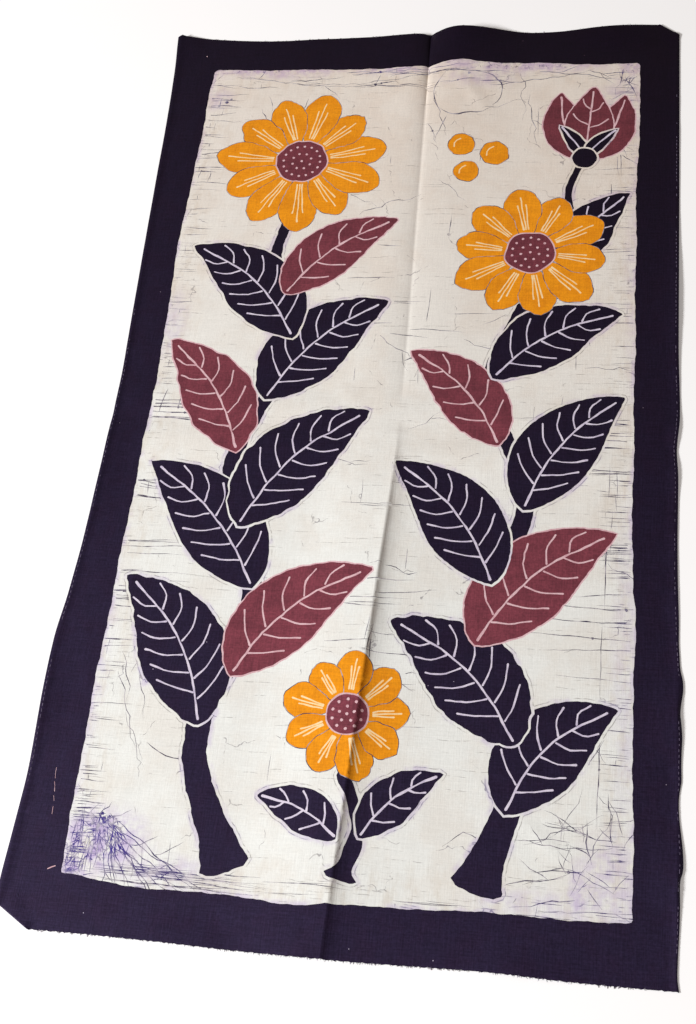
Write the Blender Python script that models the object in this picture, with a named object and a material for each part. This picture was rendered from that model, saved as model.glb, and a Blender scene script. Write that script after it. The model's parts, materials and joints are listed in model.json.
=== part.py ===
"""A batik cloth laid out flat, face up, on the surface it rests on.

It is one piece of dyed cotton, 0.60 m wide and 1.06 m long. An indigo border runs round a
cream field. The cloth was kept folded in quarters, so it still stands up along its long
crease: as a valley between two shoulders in the far half, and as a sharp ridge in the near
half. A fainter crease crosses it at mid length, its edges are drawn in and lift a little,
and two of its corners are turned under.

Metres, +Z up. +X is the cloth's right, +Y its far end, and the origin lies on the surface
under the middle of the cloth's box.
"""
import math
from typing import NamedTuple

import bmesh
import bpy
from mathutils import Vector

# Sizes of the cut cloth and of its dyed border
HALF_WIDTH = 0.302
HALF_LENGTH = 0.533
SHEET_THICKNESS = 0.0015
FIELD_LEFT = -0.249
FIELD_RIGHT = 0.255
FIELD_NEAR = -0.485
FIELD_FAR = 0.473

# How finely the sheet is divided, counted from the crossing of its two creases
COLUMNS_EACH_SIDE = 14
ROWS_EACH_WAY = 23
COLUMN_CROWDING = 1.5
ROW_CROWDING = 1.25

# Each turned-under corner, with the length that it takes off the end edge and the side edge
TURNED_CORNERS = (
    (Vector((-HALF_WIDTH, -HALF_LENGTH)), (0.040, 0.024)),
    (Vector((HALF_WIDTH, HALF_LENGTH)), (0.026, 0.019)),
)
TURN_SOFTNESS = 0.004


class EdgeRow(NamedTuple):
    """How far the cloth's edge is drawn in from its box, at one place along that edge."""

    along: float
    inset: float


class PathRow(NamedTuple):
    """How far a crease lies off the middle line, at one place along the crease."""

    along: float
    offset: float


class CreaseRow(NamedTuple):
    """The long crease's cross-section at one distance up the cloth."""

    y: float
    ridge: float
    left_rise: float
    left_crest: float
    left_reach: float
    right_rise: float
    right_crest: float
    right_reach: float


class Swell(NamedTuple):
    """A place where the cloth stands off the surface in a low rounded rise."""

    x: float
    y: float
    reach_x: float
    reach_y: float
    height: float


LEFT_EDGE = (
    EdgeRow(-0.533, 0.0010),
    EdgeRow(-0.487, 0.0020),
    EdgeRow(-0.447, 0.0040),
    EdgeRow(-0.382, 0.0065),
    EdgeRow(-0.262, 0.0040),
    EdgeRow(-0.208, 0.0090),
    EdgeRow(-0.119, 0.0140),
    EdgeRow(0.018, 0.0170),
    EdgeRow(0.126, 0.0140),
    EdgeRow(0.298, 0.0090),
    EdgeRow(0.413, 0.0060),
    EdgeRow(0.533, 0.0000),
)

RIGHT_EDGE = (
    EdgeRow(-0.533, 0.0050),
    EdgeRow(-0.497, 0.0058),
    EdgeRow(-0.472, 0.0050),
    EdgeRow(-0.440, 0.0000),
    EdgeRow(-0.400, 0.0040),
    EdgeRow(-0.365, 0.0035),
    EdgeRow(-0.313, 0.0005),
    EdgeRow(-0.262, 0.0040),
    EdgeRow(-0.130, 0.0065),
    EdgeRow(-0.060, 0.0060),
    EdgeRow(-0.028, 0.0075),
    EdgeRow(0.010, 0.0035),
    EdgeRow(0.090, 0.0060),
    EdgeRow(0.280, 0.0050),
    EdgeRow(0.533, 0.0050),
)

NEAR_EDGE = (
    EdgeRow(-0.302, 0.0010),
    EdgeRow(-0.207, 0.0025),
    EdgeRow(-0.071, 0.0005),
    EdgeRow(0.008, 0.0000),
    EdgeRow(0.135, 0.0030),
    EdgeRow(0.200, 0.0015),
    EdgeRow(0.302, 0.0015),
)

FAR_EDGE = (
    EdgeRow(-0.302, 0.0040),
    EdgeRow(-0.263, 0.0083),
    EdgeRow(-0.187, 0.0134),
    EdgeRow(-0.113, 0.0110),
    EdgeRow(0.013, 0.0107),
    EdgeRow(0.031, 0.0080),
    EdgeRow(0.067, 0.0065),
    EdgeRow(0.138, 0.0080),
    EdgeRow(0.208, 0.0030),
    EdgeRow(0.273, 0.0000),
    EdgeRow(0.302, 0.0000),
)

LONG_CREASE_PATH = (
    PathRow(-0.533, 0.0000),
    PathRow(-0.359, 0.0070),
    PathRow(-0.192, 0.0140),
    PathRow(-0.017, 0.0200),
    PathRow(0.278, 0.0150),
    PathRow(0.533, 0.0100),
)

CROSS_CREASE_PATH = (
    PathRow(-0.302, -0.0060),
    PathRow(0.020, -0.0180),
    PathRow(0.121, -0.0205),
    PathRow(0.302, -0.0300),
)

# The long crease from the near edge, where it is a ridge, to the far edge, where it is a valley
LONG_CREASE = (
    CreaseRow(-0.533, 0.0070, 0.0000, 0.040, 0.065, 0.0000, 0.045, 0.080),
    CreaseRow(-0.440, 0.0085, 0.0000, 0.040, 0.070, 0.0000, 0.045, 0.085),
    CreaseRow(-0.300, 0.0100, 0.0000, 0.040, 0.070, 0.0000, 0.045, 0.090),
    CreaseRow(-0.120, 0.0085, 0.0000, 0.045, 0.080, 0.0000, 0.045, 0.090),
    CreaseRow(-0.040, 0.0035, 0.0010, 0.050, 0.100, 0.0005, 0.045, 0.095),
    CreaseRow(0.030, 0.0005, 0.0040, 0.052, 0.120, 0.0025, 0.045, 0.100),
    CreaseRow(0.150, 0.0000, 0.0065, 0.055, 0.130, 0.0045, 0.045, 0.110),
    CreaseRow(0.300, 0.0000, 0.0065, 0.052, 0.130, 0.0055, 0.045, 0.120),
    CreaseRow(0.430, 0.0000, 0.0050, 0.045, 0.125, 0.0095, 0.045, 0.125),
    CreaseRow(0.533, 0.0000, 0.0035, 0.042, 0.120, 0.0130, 0.045, 0.125),
)

CROSS_CREASE_RISE = 0.0014
CROSS_CREASE_CREST = 0.020
CROSS_CREASE_REACH = 0.060

SWELLS = (
    Swell(0.302, -0.440, 0.040, 0.055, 0.0045),
    Swell(0.302, -0.313, 0.040, 0.060, 0.0040),
    Swell(0.302, 0.150, 0.035, 0.120, 0.0025),
    Swell(0.225, 0.533, 0.070, 0.045, 0.0035),
    Swell(-0.302, 0.533, 0.050, 0.060, 0.0040),
    Swell(-0.290, -0.070, 0.035, 0.100, 0.0030),
    Swell(-0.300, -0.330, 0.035, 0.080, 0.0025),
    Swell(-0.130, -0.533, 0.060, 0.030, 0.0020),
    Swell(0.170, -0.533, 0.060, 0.030, 0.0025),
)


def start_clean():
    """Take away the objects that a new file opens with."""
    for thing in list(bpy.data.objects):
        bpy.data.objects.remove(thing, do_unlink=True)


def dyed_cotton(name, colour, roughness):
    """Make a plain matt cotton finish of one dye."""
    material = bpy.data.materials.new(name)
    material.use_nodes = True
    shader = material.node_tree.nodes["Principled BSDF"]
    shader.inputs["Base Color"].default_value = (*colour, 1.0)
    shader.inputs["Roughness"].default_value = roughness
    shader.inputs["Metallic"].default_value = 0.0
    material.diffuse_color = (*colour, 1.0)
    return material


def slope_at(rows, index):
    """Slope of a table's curve at one of its rows, from the rows on both sides."""
    first = rows[max(index - 1, 0)]
    last = rows[min(index + 1, len(rows) - 1)]
    return (last[1] - first[1]) / (last[0] - first[0])


def read_curve(rows, along):
    """Read a table of (along, value) rows as one smooth curve through all of them."""
    if along <= rows[0][0]:
        return rows[0][1]
    if along >= rows[-1][0]:
        return rows[-1][1]
    index = max(i for i, row in enumerate(rows) if row[0] <= along)
    start, end = rows[index], rows[index + 1]
    span = end[0] - start[0]
    t = (along - start[0]) / span
    blend = t * t * (3.0 - 2.0 * t)
    leave = span * slope_at(rows, index) * t * (1.0 - t) ** 2
    arrive = span * slope_at(rows, index + 1) * t * t * (1.0 - t)
    return start[1] + (end[1] - start[1]) * blend + leave - arrive


def read_column(rows, name, y):
    """Read one column of the long crease's table at y, which no overshoot takes below nothing."""
    return max(0.0, read_curve([(row.y, getattr(row, name)) for row in rows], y))


def crease_section(y):
    """The long crease's cross-section at y, read from its table column by column."""
    return CreaseRow(y, *(read_column(LONG_CREASE, name, y) for name in CreaseRow._fields[1:]))


def shoulder(distance, crest, reach):
    """Share of a shoulder's height: straight up out of the crease, then gently down again."""
    if distance >= reach:
        return 0.0
    if distance < crest:
        return math.sin(0.5 * math.pi * distance / crest)
    return math.cos(0.5 * math.pi * (distance - crest) / (reach - crest)) ** 2


def sharp_ridge(distance, reach):
    """Share of a ridge's height: a sharp top that eases out to nothing."""
    return max(0.0, 1.0 - distance / reach) ** 2


def long_crease_height(x, y):
    """How far the long crease lifts the cloth off the surface at a point."""
    section = crease_section(y)
    offset = x - read_curve(LONG_CREASE_PATH, y)
    distance = abs(offset)
    if offset < 0.0:
        rise, crest, reach = section.left_rise, section.left_crest, section.left_reach
    else:
        rise, crest, reach = section.right_rise, section.right_crest, section.right_reach
    return section.ridge * sharp_ridge(distance, reach) + rise * shoulder(distance, crest, reach)


def cross_crease_height(x, y):
    """How far the shoulders of the crease at mid length lift the cloth at a point."""
    distance = abs(y - read_curve(CROSS_CREASE_PATH, x))
    return CROSS_CREASE_RISE * shoulder(distance, CROSS_CREASE_CREST, CROSS_CREASE_REACH)


def swell_height(swell, x, y):
    """How far one low rise lifts the cloth at a point."""
    distance = math.hypot((x - swell.x) / swell.reach_x, (y - swell.y) / swell.reach_y)
    if distance >= 1.0:
        return 0.0
    return swell.height * math.cos(0.5 * math.pi * distance) ** 2


def fold_height(x, y):
    """Height of the cloth's underside over the surface, never below it."""
    creases = max(long_crease_height(x, y), cross_crease_height(x, y))
    return creases + sum(swell_height(swell, x, y) for swell in SWELLS)


def turn_line(corner, turn):
    """The upright plane along which a corner is turned under: a point on it and its outward way."""
    side_x = math.copysign(1.0, corner.x)
    side_y = math.copysign(1.0, corner.y)
    outward = Vector((side_x * turn[1], side_y * turn[0])).normalized()
    return Vector((corner.x - side_x * turn[0], corner.y)), outward


def layers(x, y):
    """Layers of cloth at a point: two over a flap that is turned under, one elsewhere."""
    doubled = 0.0
    for corner, turn in TURNED_CORNERS:
        on_line, outward = turn_line(corner, turn)
        depth = (on_line - Vector((x, y))).dot(outward)
        mirrored = Vector((x, y)) + 2.0 * depth * outward
        inside = min(HALF_WIDTH - abs(mirrored.x), HALF_LENGTH - abs(mirrored.y))
        doubled = max(doubled, min(1.0, inside / TURN_SOFTNESS))
    return 1.0 + doubled


def crowded(fraction, power):
    """Move an evenly spaced place between -1 and 1 closer to the middle."""
    return math.copysign(abs(fraction) ** power, fraction)


def place_in_outline(x, y):
    """Carry a point of the plain rectangle to where it lies in the uneven cloth."""
    field_x = FIELD_LEFT if x < 0.0 else FIELD_RIGHT
    field_y = FIELD_NEAR if y < 0.0 else FIELD_FAR
    side_edge = LEFT_EDGE if x < 0.0 else RIGHT_EDGE
    end_edge = NEAR_EDGE if y < 0.0 else FAR_EDGE
    out_x = max(0.0, (abs(x) - abs(field_x)) / (HALF_WIDTH - abs(field_x)))
    out_y = max(0.0, (abs(y) - abs(field_y)) / (HALF_LENGTH - abs(field_y)))
    in_x = max(0.0, 1.0 - abs(x / field_x))
    in_y = max(0.0, 1.0 - abs(y / field_y))
    new_x = x + in_x * read_curve(LONG_CREASE_PATH, y)
    new_y = y + in_y * read_curve(CROSS_CREASE_PATH, x)
    new_x -= math.copysign(out_x * read_curve(side_edge, y), x)
    new_y -= math.copysign(out_y * read_curve(end_edge, x), y)
    return new_x, new_y


def cut_with_plane(sheet, point, normal, drop_outside):
    """Divide the flat sheet along an upright plane and, where asked, drop what lies past it."""
    bmesh.ops.bisect_plane(
        sheet,
        geom=sheet.verts[:] + sheet.edges[:] + sheet.faces[:],
        dist=1e-6,
        plane_co=point,
        plane_no=normal,
        clear_outer=drop_outside,
    )


def flat_sheet():
    """Make the plain rectangle, divided finely beside both creases and along the border."""
    sheet = bmesh.new()
    bmesh.ops.create_grid(
        sheet,
        x_segments=2 * COLUMNS_EACH_SIDE,
        y_segments=2 * ROWS_EACH_WAY,
        size=1.0,
    )
    for vert in sheet.verts:
        vert.co.x = HALF_WIDTH * crowded(vert.co.x, COLUMN_CROWDING)
        vert.co.y = HALF_LENGTH * crowded(vert.co.y, ROW_CROWDING)
    for x in (FIELD_LEFT, FIELD_RIGHT):
        cut_with_plane(sheet, Vector((x, 0.0, 0.0)), Vector((1.0, 0.0, 0.0)), False)
    for y in (FIELD_NEAR, FIELD_FAR):
        cut_with_plane(sheet, Vector((0.0, y, 0.0)), Vector((0.0, 1.0, 0.0)), False)
    return sheet


def turn_corners_under(sheet):
    """End the sheet along the line of each turned-under corner, and divide it over the flap."""
    for corner, turn in TURNED_CORNERS:
        on_line, outward = turn_line(corner, turn)
        cut_with_plane(sheet, on_line.to_3d(), outward.to_3d(), True)
        flap_depth = (corner - on_line).dot(outward)
        for share in (0.3, 0.6, 1.0):
            inner = on_line - share * flap_depth * outward
            cut_with_plane(sheet, inner.to_3d(), outward.to_3d(), False)


def in_field(face):
    """Tell whether a face of the flat sheet belongs to the cream field."""
    middle = face.calc_center_median()
    return FIELD_LEFT < middle.x < FIELD_RIGHT and FIELD_NEAR < middle.y < FIELD_FAR


def batik_cloth():
    """Build the whole cloth as one closed sheet with its folds."""
    sheet = flat_sheet()
    for face in sheet.faces:
        face.material_index = 1 if in_field(face) else 0
    for vert in sheet.verts:
        vert.co.x, vert.co.y = place_in_outline(vert.co.x, vert.co.y)
    turn_corners_under(sheet)

    underside = sheet.verts[:]
    raised = bmesh.ops.extrude_face_region(sheet, geom=sheet.faces[:])
    top = [item for item in raised["geom"] if isinstance(item, bmesh.types.BMVert)]
    for vert in underside:
        vert.co.z = fold_height(vert.co.x, vert.co.y)
    for vert in top:
        x, y = vert.co.x, vert.co.y
        vert.co.z = fold_height(x, y) + SHEET_THICKNESS * layers(x, y)
    bmesh.ops.triangulate(sheet, faces=sheet.faces[:])
    bmesh.ops.recalc_face_normals(sheet, faces=sheet.faces[:])

    mesh = bpy.data.meshes.new("batik_cloth")
    sheet.to_mesh(mesh)
    sheet.free()
    cloth = bpy.data.objects.new("batik_cloth", mesh)
    bpy.context.scene.collection.objects.link(cloth)
    mesh.materials.append(dyed_cotton("indigo_dyed_cotton", (0.024, 0.013, 0.030), 0.85))
    mesh.materials.append(dyed_cotton("waxed_cream_cotton", (0.80, 0.77, 0.70), 0.85))
    mesh.shade_smooth()
    mesh.set_sharp_from_angle(angle=math.radians(40.0))
    return cloth


start_clean()
batik_cloth()
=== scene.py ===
"""The looks of a batik cloth that lies face up with the creases of its folding.

The cloth is one thin sheet of plain-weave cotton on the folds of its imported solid. Its mesh
has an edge wherever hot wax kept a dye out, so each dyed shape ends as sharply as a wax line
does. Lengths are in millimetres until a mesh is made.
"""
import json
import logging
import math
from dataclasses import dataclass, field
from enum import Enum
from functools import partial, reduce
from typing import Any, Callable, NamedTuple, Sequence

import bpy
import numpy as np
from bpy.types import Material, Mesh, Node, NodeSocket, NodeTree, Object
from mathutils import Matrix, Vector, noise
from mathutils.geometry import delaunay_2d_cdt
from mathutils.kdtree import KDTree
from numpy import ndarray

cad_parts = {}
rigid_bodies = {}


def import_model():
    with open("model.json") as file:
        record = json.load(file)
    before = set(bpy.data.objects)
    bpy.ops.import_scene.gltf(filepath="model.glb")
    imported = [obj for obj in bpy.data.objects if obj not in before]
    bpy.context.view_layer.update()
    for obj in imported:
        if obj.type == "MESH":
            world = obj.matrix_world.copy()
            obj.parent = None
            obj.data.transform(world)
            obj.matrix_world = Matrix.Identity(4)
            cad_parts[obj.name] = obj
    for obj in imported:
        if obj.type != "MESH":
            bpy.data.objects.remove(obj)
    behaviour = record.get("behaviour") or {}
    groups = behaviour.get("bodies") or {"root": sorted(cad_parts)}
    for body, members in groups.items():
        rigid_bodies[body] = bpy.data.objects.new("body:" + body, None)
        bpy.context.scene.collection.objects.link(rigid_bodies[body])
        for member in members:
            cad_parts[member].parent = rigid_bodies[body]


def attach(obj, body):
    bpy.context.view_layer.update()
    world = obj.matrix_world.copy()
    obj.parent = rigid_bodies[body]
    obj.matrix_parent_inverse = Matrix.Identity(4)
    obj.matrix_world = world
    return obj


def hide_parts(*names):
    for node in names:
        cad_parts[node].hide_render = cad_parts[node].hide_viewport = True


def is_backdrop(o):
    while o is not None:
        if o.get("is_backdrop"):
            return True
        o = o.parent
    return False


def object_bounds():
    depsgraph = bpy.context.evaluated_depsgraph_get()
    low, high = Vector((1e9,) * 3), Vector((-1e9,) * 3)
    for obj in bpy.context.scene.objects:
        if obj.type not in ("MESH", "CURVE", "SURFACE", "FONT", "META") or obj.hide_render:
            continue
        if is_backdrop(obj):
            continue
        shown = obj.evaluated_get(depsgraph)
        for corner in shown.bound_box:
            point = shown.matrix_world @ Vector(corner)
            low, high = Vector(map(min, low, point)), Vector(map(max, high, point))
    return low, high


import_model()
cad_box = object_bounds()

LOG = logging.getLogger("batik_cloth")
MM = 0.001
CLOTH_NODE = "batik_cloth"
BODY = "root"
FLAT_MAP = "cloth_flat"


class Dye(Enum):
    """What colours a patch of the cloth. Its value is the place of its finish on the sheet."""

    INDIGO = 0
    CREAM = 1
    MAROON = 2
    GOLD = 3
    WAX_ON_INDIGO = 4
    WAX_ON_MAROON = 5
    WAX_ON_GOLD = 6
    VEIN = 7


WAX_LINE = {
    Dye.INDIGO: Dye.WAX_ON_INDIGO,
    Dye.MAROON: Dye.WAX_ON_MAROON,
    Dye.GOLD: Dye.WAX_ON_GOLD,
}


Pair = tuple[float, float]
Triple = tuple[float, float, float]
# Rows of a place along the cloth and what holds there: an inset, an offset, a place or a share
Rows = tuple[Pair, ...]


class CreaseRow(NamedTuple):
    """The long crease's cross-section at one distance up the cloth."""

    y: float
    ridge: float
    left_rise: float
    left_crest: float
    left_reach: float
    right_rise: float
    right_crest: float
    right_reach: float


class Spot(NamedTuple):
    """A rounded place on the cloth, where it stands off the floor or dye crept in."""

    x: float
    y: float
    reach_x: float
    reach_y: float
    strength: float

    def away(self, x: ndarray, y: ndarray) -> ndarray:
        """Measure how far points are from its middle, against its reach."""
        return np.hypot((x - self.x) / self.reach_x, (y - self.y) / self.reach_y)


class Pucker(NamedTuple):
    """A short soft ridge left by handling, from one point to another."""

    x0: float
    y0: float
    x1: float
    y1: float
    half_width: float
    height: float


class CornerTurn(NamedTuple):
    """A corner that is turned under, with the length it takes off the end and the side edge."""

    x: float
    y: float
    off_end: float
    off_side: float


def read_curve(rows: Sequence[Sequence[float]], along: ndarray, column: int = 1) -> ndarray:
    """Read one column of a table as a smooth curve through all its rows.

    Args:
        rows: table rows whose first column rises from row to row.
        along: where to read, in the first column's units.
        column: which column to read.

    Returns:
        The column's value at each place.
    """
    places = np.array([row[0] for row in rows])
    values = np.array([row[column] for row in rows])
    last = len(rows) - 1
    before = np.maximum(np.arange(last + 1) - 1, 0)
    after = np.minimum(np.arange(last + 1) + 1, last)
    slopes = (values[after] - values[before]) / (places[after] - places[before])
    at = np.clip(along, places[0], places[-1])
    index = np.clip(np.searchsorted(places, at, side="right") - 1, 0, last - 1)
    span = places[index + 1] - places[index]
    t = (at - places[index]) / span
    leave = span * slopes[index] * t * (1.0 - t) ** 2
    arrive = span * slopes[index + 1] * t * t * (1.0 - t)
    blend = t * t * (3.0 - 2.0 * t)
    return values[index] + (values[index + 1] - values[index]) * blend + leave - arrive


def shoulder(distance: ndarray, crest: ndarray, reach: ndarray) -> ndarray:
    """Share of a shoulder's height: straight up out of a crease, then gently down again.

    Args:
        distance: distance from the crease.
        crest: distance at which the shoulder is highest.
        reach: distance at which the cloth lies flat again.

    Returns:
        A share from 0 to 1 at each distance.
    """
    rising = np.sin(0.5 * np.pi * np.minimum(distance / crest, 1.0))
    falling = np.cos(0.5 * np.pi * np.clip((distance - crest) / (reach - crest), 0.0, 1.0)) ** 2
    return np.where(distance < crest, rising, falling)


def smooth_step(value: ndarray, low: float, high: float) -> ndarray:
    """Rise softly from 0 at low to 1 at high."""
    t = np.clip((value - low) / (high - low), 0.0, 1.0)
    return t * t * (3.0 - 2.0 * t)


@dataclass(frozen=True)
class ClothShape:
    """How the cut cloth lies: its uneven outline, its creases and its turned corners.

    Points are given one (x, y) a row.
    """

    half_width: float = 302.0
    half_length: float = 533.0
    thickness: float = 0.5
    field_left: float = -249.0
    field_right: float = 255.0
    field_near: float = -485.0
    field_far: float = 473.0
    turn_radius: float = 0.45
    turn_softness: float = 4.0
    hem_width: float = 5.0
    hem_lift: float = 0.6
    relief: float = 0.5
    relief_size: float = 38.0
    cross_rise: float = 1.4
    cross_crest: float = 20.0
    cross_reach: float = 60.0
    cross_pinch: float = 0.4
    ridge_share: float = 0.66
    ridge_sharp: float = 0.72
    ridge_width: float = 8.5
    ridge_reach: float = 100.0
    left_share: float = 0.5
    right_share: float = 0.85
    rise_share: Rows = ((-533, 0.4), (100, 0.25), (400, 0.18), (480, 0.45), (533, 1))
    ragged: float = 0.3
    pinch_left: float = 9.0
    pinch_right: float = 2.8
    groove_left: float = 3.4
    groove_right: float = 2.2
    pinch_reach: float = 70.0
    pinch: Rows = (
        (-533, 0.6), (-420, 0.9), (-200, 1.1), (-90, 0.9), (-20, 0.2), (60, -0.4), (250, -0.7),
        (380, -0.9), (425, -1.5), (480, -2), (533, -3.4),
    )
    left_edge: Rows = (
        (-533, 1), (-487, 2), (-447, 4), (-382, 6.5), (-262, 4), (-208, 9), (-119, 14), (18, 17),
        (126, 14), (298, 9), (413, 6), (533, 0),
    )
    right_edge: Rows = (
        (-533, 2.3), (-510, 2), (-475, 1), (-440, 0.6), (-380, 0.6), (-300, 0.8), (-245, 1.2),
        (-225, 2.8), (-190, 4.8), (-130, 5.6), (-60, 5), (-28, 6.3), (10, 3.3), (90, 4.6), (280, 3.8),
        (533, 3.4),
    )
    roll_width: float = 5.8
    roll_drop: float = 0.75
    roll_from: Pair = (190.0, 240.0)
    roll: Rows = (
        (-533, 2), (-523, 3.6), (-507, 3.5), (-483, 3), (-463, 2.9), (-447, 3.2), (-441, 2.6),
        (-434, 0.5), (-418, 0.7), (-405, 2), (-391, 3.5), (-377, 4.1), (-367, 3.3), (-358, 1.7),
        (-345, 1.8), (-331, 1.5), (-318, 0.9), (-306, 1.6), (-296, 2.5), (-286, 1.5), (-276, 0),
        (-266, 0), (-260, 1.1), (-254, 2.3), (-238, 2.5), (-190, 1),
    )
    near_edge: Rows = (
        (-302, 0.3), (-207, 1.3), (-71, -0.6), (8, -0.9), (135, 1.7), (200, 0.3), (302, 0.6),
    )
    far_edge: Rows = (
        (-302, 4), (-263, 8.3), (-187, 13.4), (-113, 11), (13, 10.7), (31, 8), (67, 6.5), (138, 8),
        (208, 3), (273, 0), (302, 0),
    )
    long_path: Rows = (
        (-533, 0), (-359, 7), (-192, 14), (-17, 20), (278, 15), (533, 10),
    )
    cross_path: Rows = ((-302, -6), (20, -18), (121, -20.5), (302, -30))
    long_crease: tuple[CreaseRow, ...] = (
        CreaseRow(-533, 7, 0, 40, 65, 0, 45, 80),
        CreaseRow(-440, 8.5, 0, 40, 70, 0, 45, 85),
        CreaseRow(-300, 10, 0, 40, 70, 0, 45, 90),
        CreaseRow(-120, 8.5, 0, 45, 80, 0, 45, 90),
        CreaseRow(-40, 3.5, 1, 50, 100, 0.5, 45, 95),
        CreaseRow(30, 0.5, 4, 52, 120, 2.5, 45, 100),
        CreaseRow(150, 0, 6.5, 55, 130, 4.5, 45, 110),
        CreaseRow(300, 0, 6.5, 52, 130, 5.5, 45, 120),
        CreaseRow(430, 0, 5, 45, 125, 9.5, 45, 125),
        CreaseRow(533, 0, 3.5, 42, 120, 13, 45, 125),
    )
    swells: tuple[Spot, ...] = (
        Spot(302, -440, 36, 55, 3), Spot(302, -300, 36, 64, 2.8), Spot(302, 150, 35, 120, 2.5),
        Spot(225, 533, 70, 45, 3.5), Spot(-302, 533, 50, 60, 4), Spot(-290, -70, 35, 100, 3),
        Spot(-300, -330, 35, 80, 2.5), Spot(-130, -533, 60, 30, 2), Spot(170, -533, 60, 30, 2.5),
    )
    puckers: tuple[Pucker, ...] = (
        Pucker(26, -40, 72, -96, 9, 0.8), Pucker(-6, 4, -58, 40, 10, 0.7), Pucker(34, 6, 96, 28, 8, 0.6),
        Pucker(-12, -38, -70, -78, 9, 0.6), Pucker(40, 470, 96, 392, 11, 1),
        Pucker(-40, 505, -92, 420, 12, 0.8), Pucker(258, -30, 150, -12, 8, 0.6),
        Pucker(-262, -2, -170, 8, 9, 0.6), Pucker(-240, -430, -176, -388, 10, 0.9),
        Pucker(210, -440, 150, -392, 10, 0.7), Pucker(205, 430, 160, 372, 10, 0.7),
        Pucker(-90, -300, -64, -226, 9, 0.5),
    )
    turns: tuple[CornerTurn, ...] = (
        CornerTurn(-302, -533, 40, 24), CornerTurn(302, 533, 26, 19), CornerTurn(-302, 533, 12, 9),
    )

    def lay(self, flat: ndarray) -> ndarray:
        """Carry points of the plain cut rectangle to where they lie in the uneven cloth.

        Args:
            flat: points of the rectangle, one (x, y) a row.

        Returns:
            The same points with the cloth's edges drawn in.
        """
        x, y = flat.T
        field_x = np.where(x < 0.0, -self.field_left, self.field_right)
        field_y = np.where(y < 0.0, -self.field_near, self.field_far)
        out_x = np.maximum(0.0, (np.abs(x) - field_x) / (self.half_width - field_x))
        out_y = np.maximum(0.0, (np.abs(y) - field_y) / (self.half_length - field_y))
        side = np.where(x < 0.0, read_curve(self.left_edge, y), read_curve(self.right_edge, y))
        end = np.where(y < 0.0, read_curve(self.near_edge, x), read_curve(self.far_edge, x))
        notches = 1.5 + np.sin(0.91 * x) + 0.7 * np.sin(1.37 * x + 1.0) + 0.6 * np.sin(0.53 * x + 2.0)
        end = end + np.where((y < 0.0) & (out_y > 0.98), self.ragged * np.clip(notches, 0.0, 3.0), 0.0)
        rolled = self.rolled_share(flat) * read_curve(self.roll, y)
        return np.column_stack([x - np.sign(x) * out_x * side - rolled, y - np.sign(y) * out_y * end])

    def rolled_share(self, flat: ndarray) -> ndarray:
        """Tell how far out points lie in the part of the right hem that rolls under.

        Args:
            flat: points of the plain cut rectangle.

        Returns:
            A share that is 0 off the rolled part and 1 at its edge.
        """
        x, y = flat.T
        out = np.clip(1.0 - (self.half_width - x) / self.roll_width, 0.0, 1.0)
        return out * smooth_step(-y, *self.roll_from)

    def long_crease_height(self, x: ndarray, y: ndarray) -> ndarray:
        """Lift of the long crease at each point.

        Args:
            x: places across the cloth.
            y: places up the cloth.

        Returns:
            The height over the floor.
        """
        names = CreaseRow._fields
        row = {n: np.maximum(read_curve(self.long_crease, y, i), 0.0) for i, n in enumerate(names)}
        offset = x - read_curve(self.long_path, y)
        left = offset < 0.0
        rise = np.where(left, row["left_rise"], row["right_rise"]) * read_curve(self.rise_share, y)
        crest = np.where(left, self.left_share * row["left_crest"], self.right_share * row["right_crest"])
        reach = np.where(left, row["left_reach"], row["right_reach"])
        distance = np.abs(offset)
        sharp = np.where(left, 0.0, self.ridge_sharp)
        broad = np.cos(0.5 * np.pi * np.minimum(distance / self.ridge_reach, 1.0)) ** 2
        ridge = sharp * np.exp(-distance / self.ridge_width) + (1.0 - sharp) * broad
        return self.ridge_share * row["ridge"] * ridge + rise * shoulder(distance, crest, reach)

    def pinch_height(self, placed: ndarray) -> ndarray:
        """Height of the sharp lines that pressing left in both creases.

        Args:
            placed: points as they lie.

        Returns:
            The added height at each point.
        """
        x, y = placed.T
        strength = read_curve(self.pinch, y)
        offset = x - read_curve(self.long_path, y)
        away = np.abs(offset)
        peak = np.exp(-away / np.where(offset < 0.0, self.pinch_left, self.pinch_right))
        groove = 1.0 - np.exp(-away / np.where(offset < 0.0, self.groove_left, self.groove_right))
        sides = np.cos(0.5 * np.pi * np.minimum(away / self.pinch_reach, 1.0)) ** 2
        along = np.where(strength > 0.0, strength * peak, -strength * groove * sides)
        off_cross = np.abs(y - read_curve(self.cross_path, x))
        return along + self.cross_pinch * np.exp(-off_cross / self.pinch_right)

    def fold_height(self, placed: ndarray) -> ndarray:
        """Height of the cloth's underside over the floor: creases, swells and puckers.

        Args:
            placed: points as they lie.

        Returns:
            The height at each point, never under 0.
        """
        x, y = placed.T
        off_cross = np.abs(y - read_curve(self.cross_path, x))
        cross = self.cross_rise * shoulder(off_cross, self.cross_crest, self.cross_reach)
        height = np.maximum(self.long_crease_height(x, y), cross) + self.pinch_height(placed)
        for swell in self.swells:
            height += swell.strength * np.cos(0.5 * np.pi * np.minimum(swell.away(x, y), 1.0)) ** 2
        for pucker in self.puckers:
            run = np.array([pucker.x1 - pucker.x0, pucker.y1 - pucker.y0])
            length = math.hypot(*run)
            along = ((x - pucker.x0) * run[0] + (y - pucker.y0) * run[1]) / length**2
            across = np.abs((x - pucker.x0) * run[1] - (y - pucker.y0) * run[0]) / length
            taper = np.sin(np.pi * np.clip(along, 0.0, 1.0)) ** 2
            bulge = np.cos(0.5 * np.pi * np.minimum(across / pucker.half_width, 1.0)) ** 2
            height += pucker.height * taper * bulge
        return height

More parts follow.
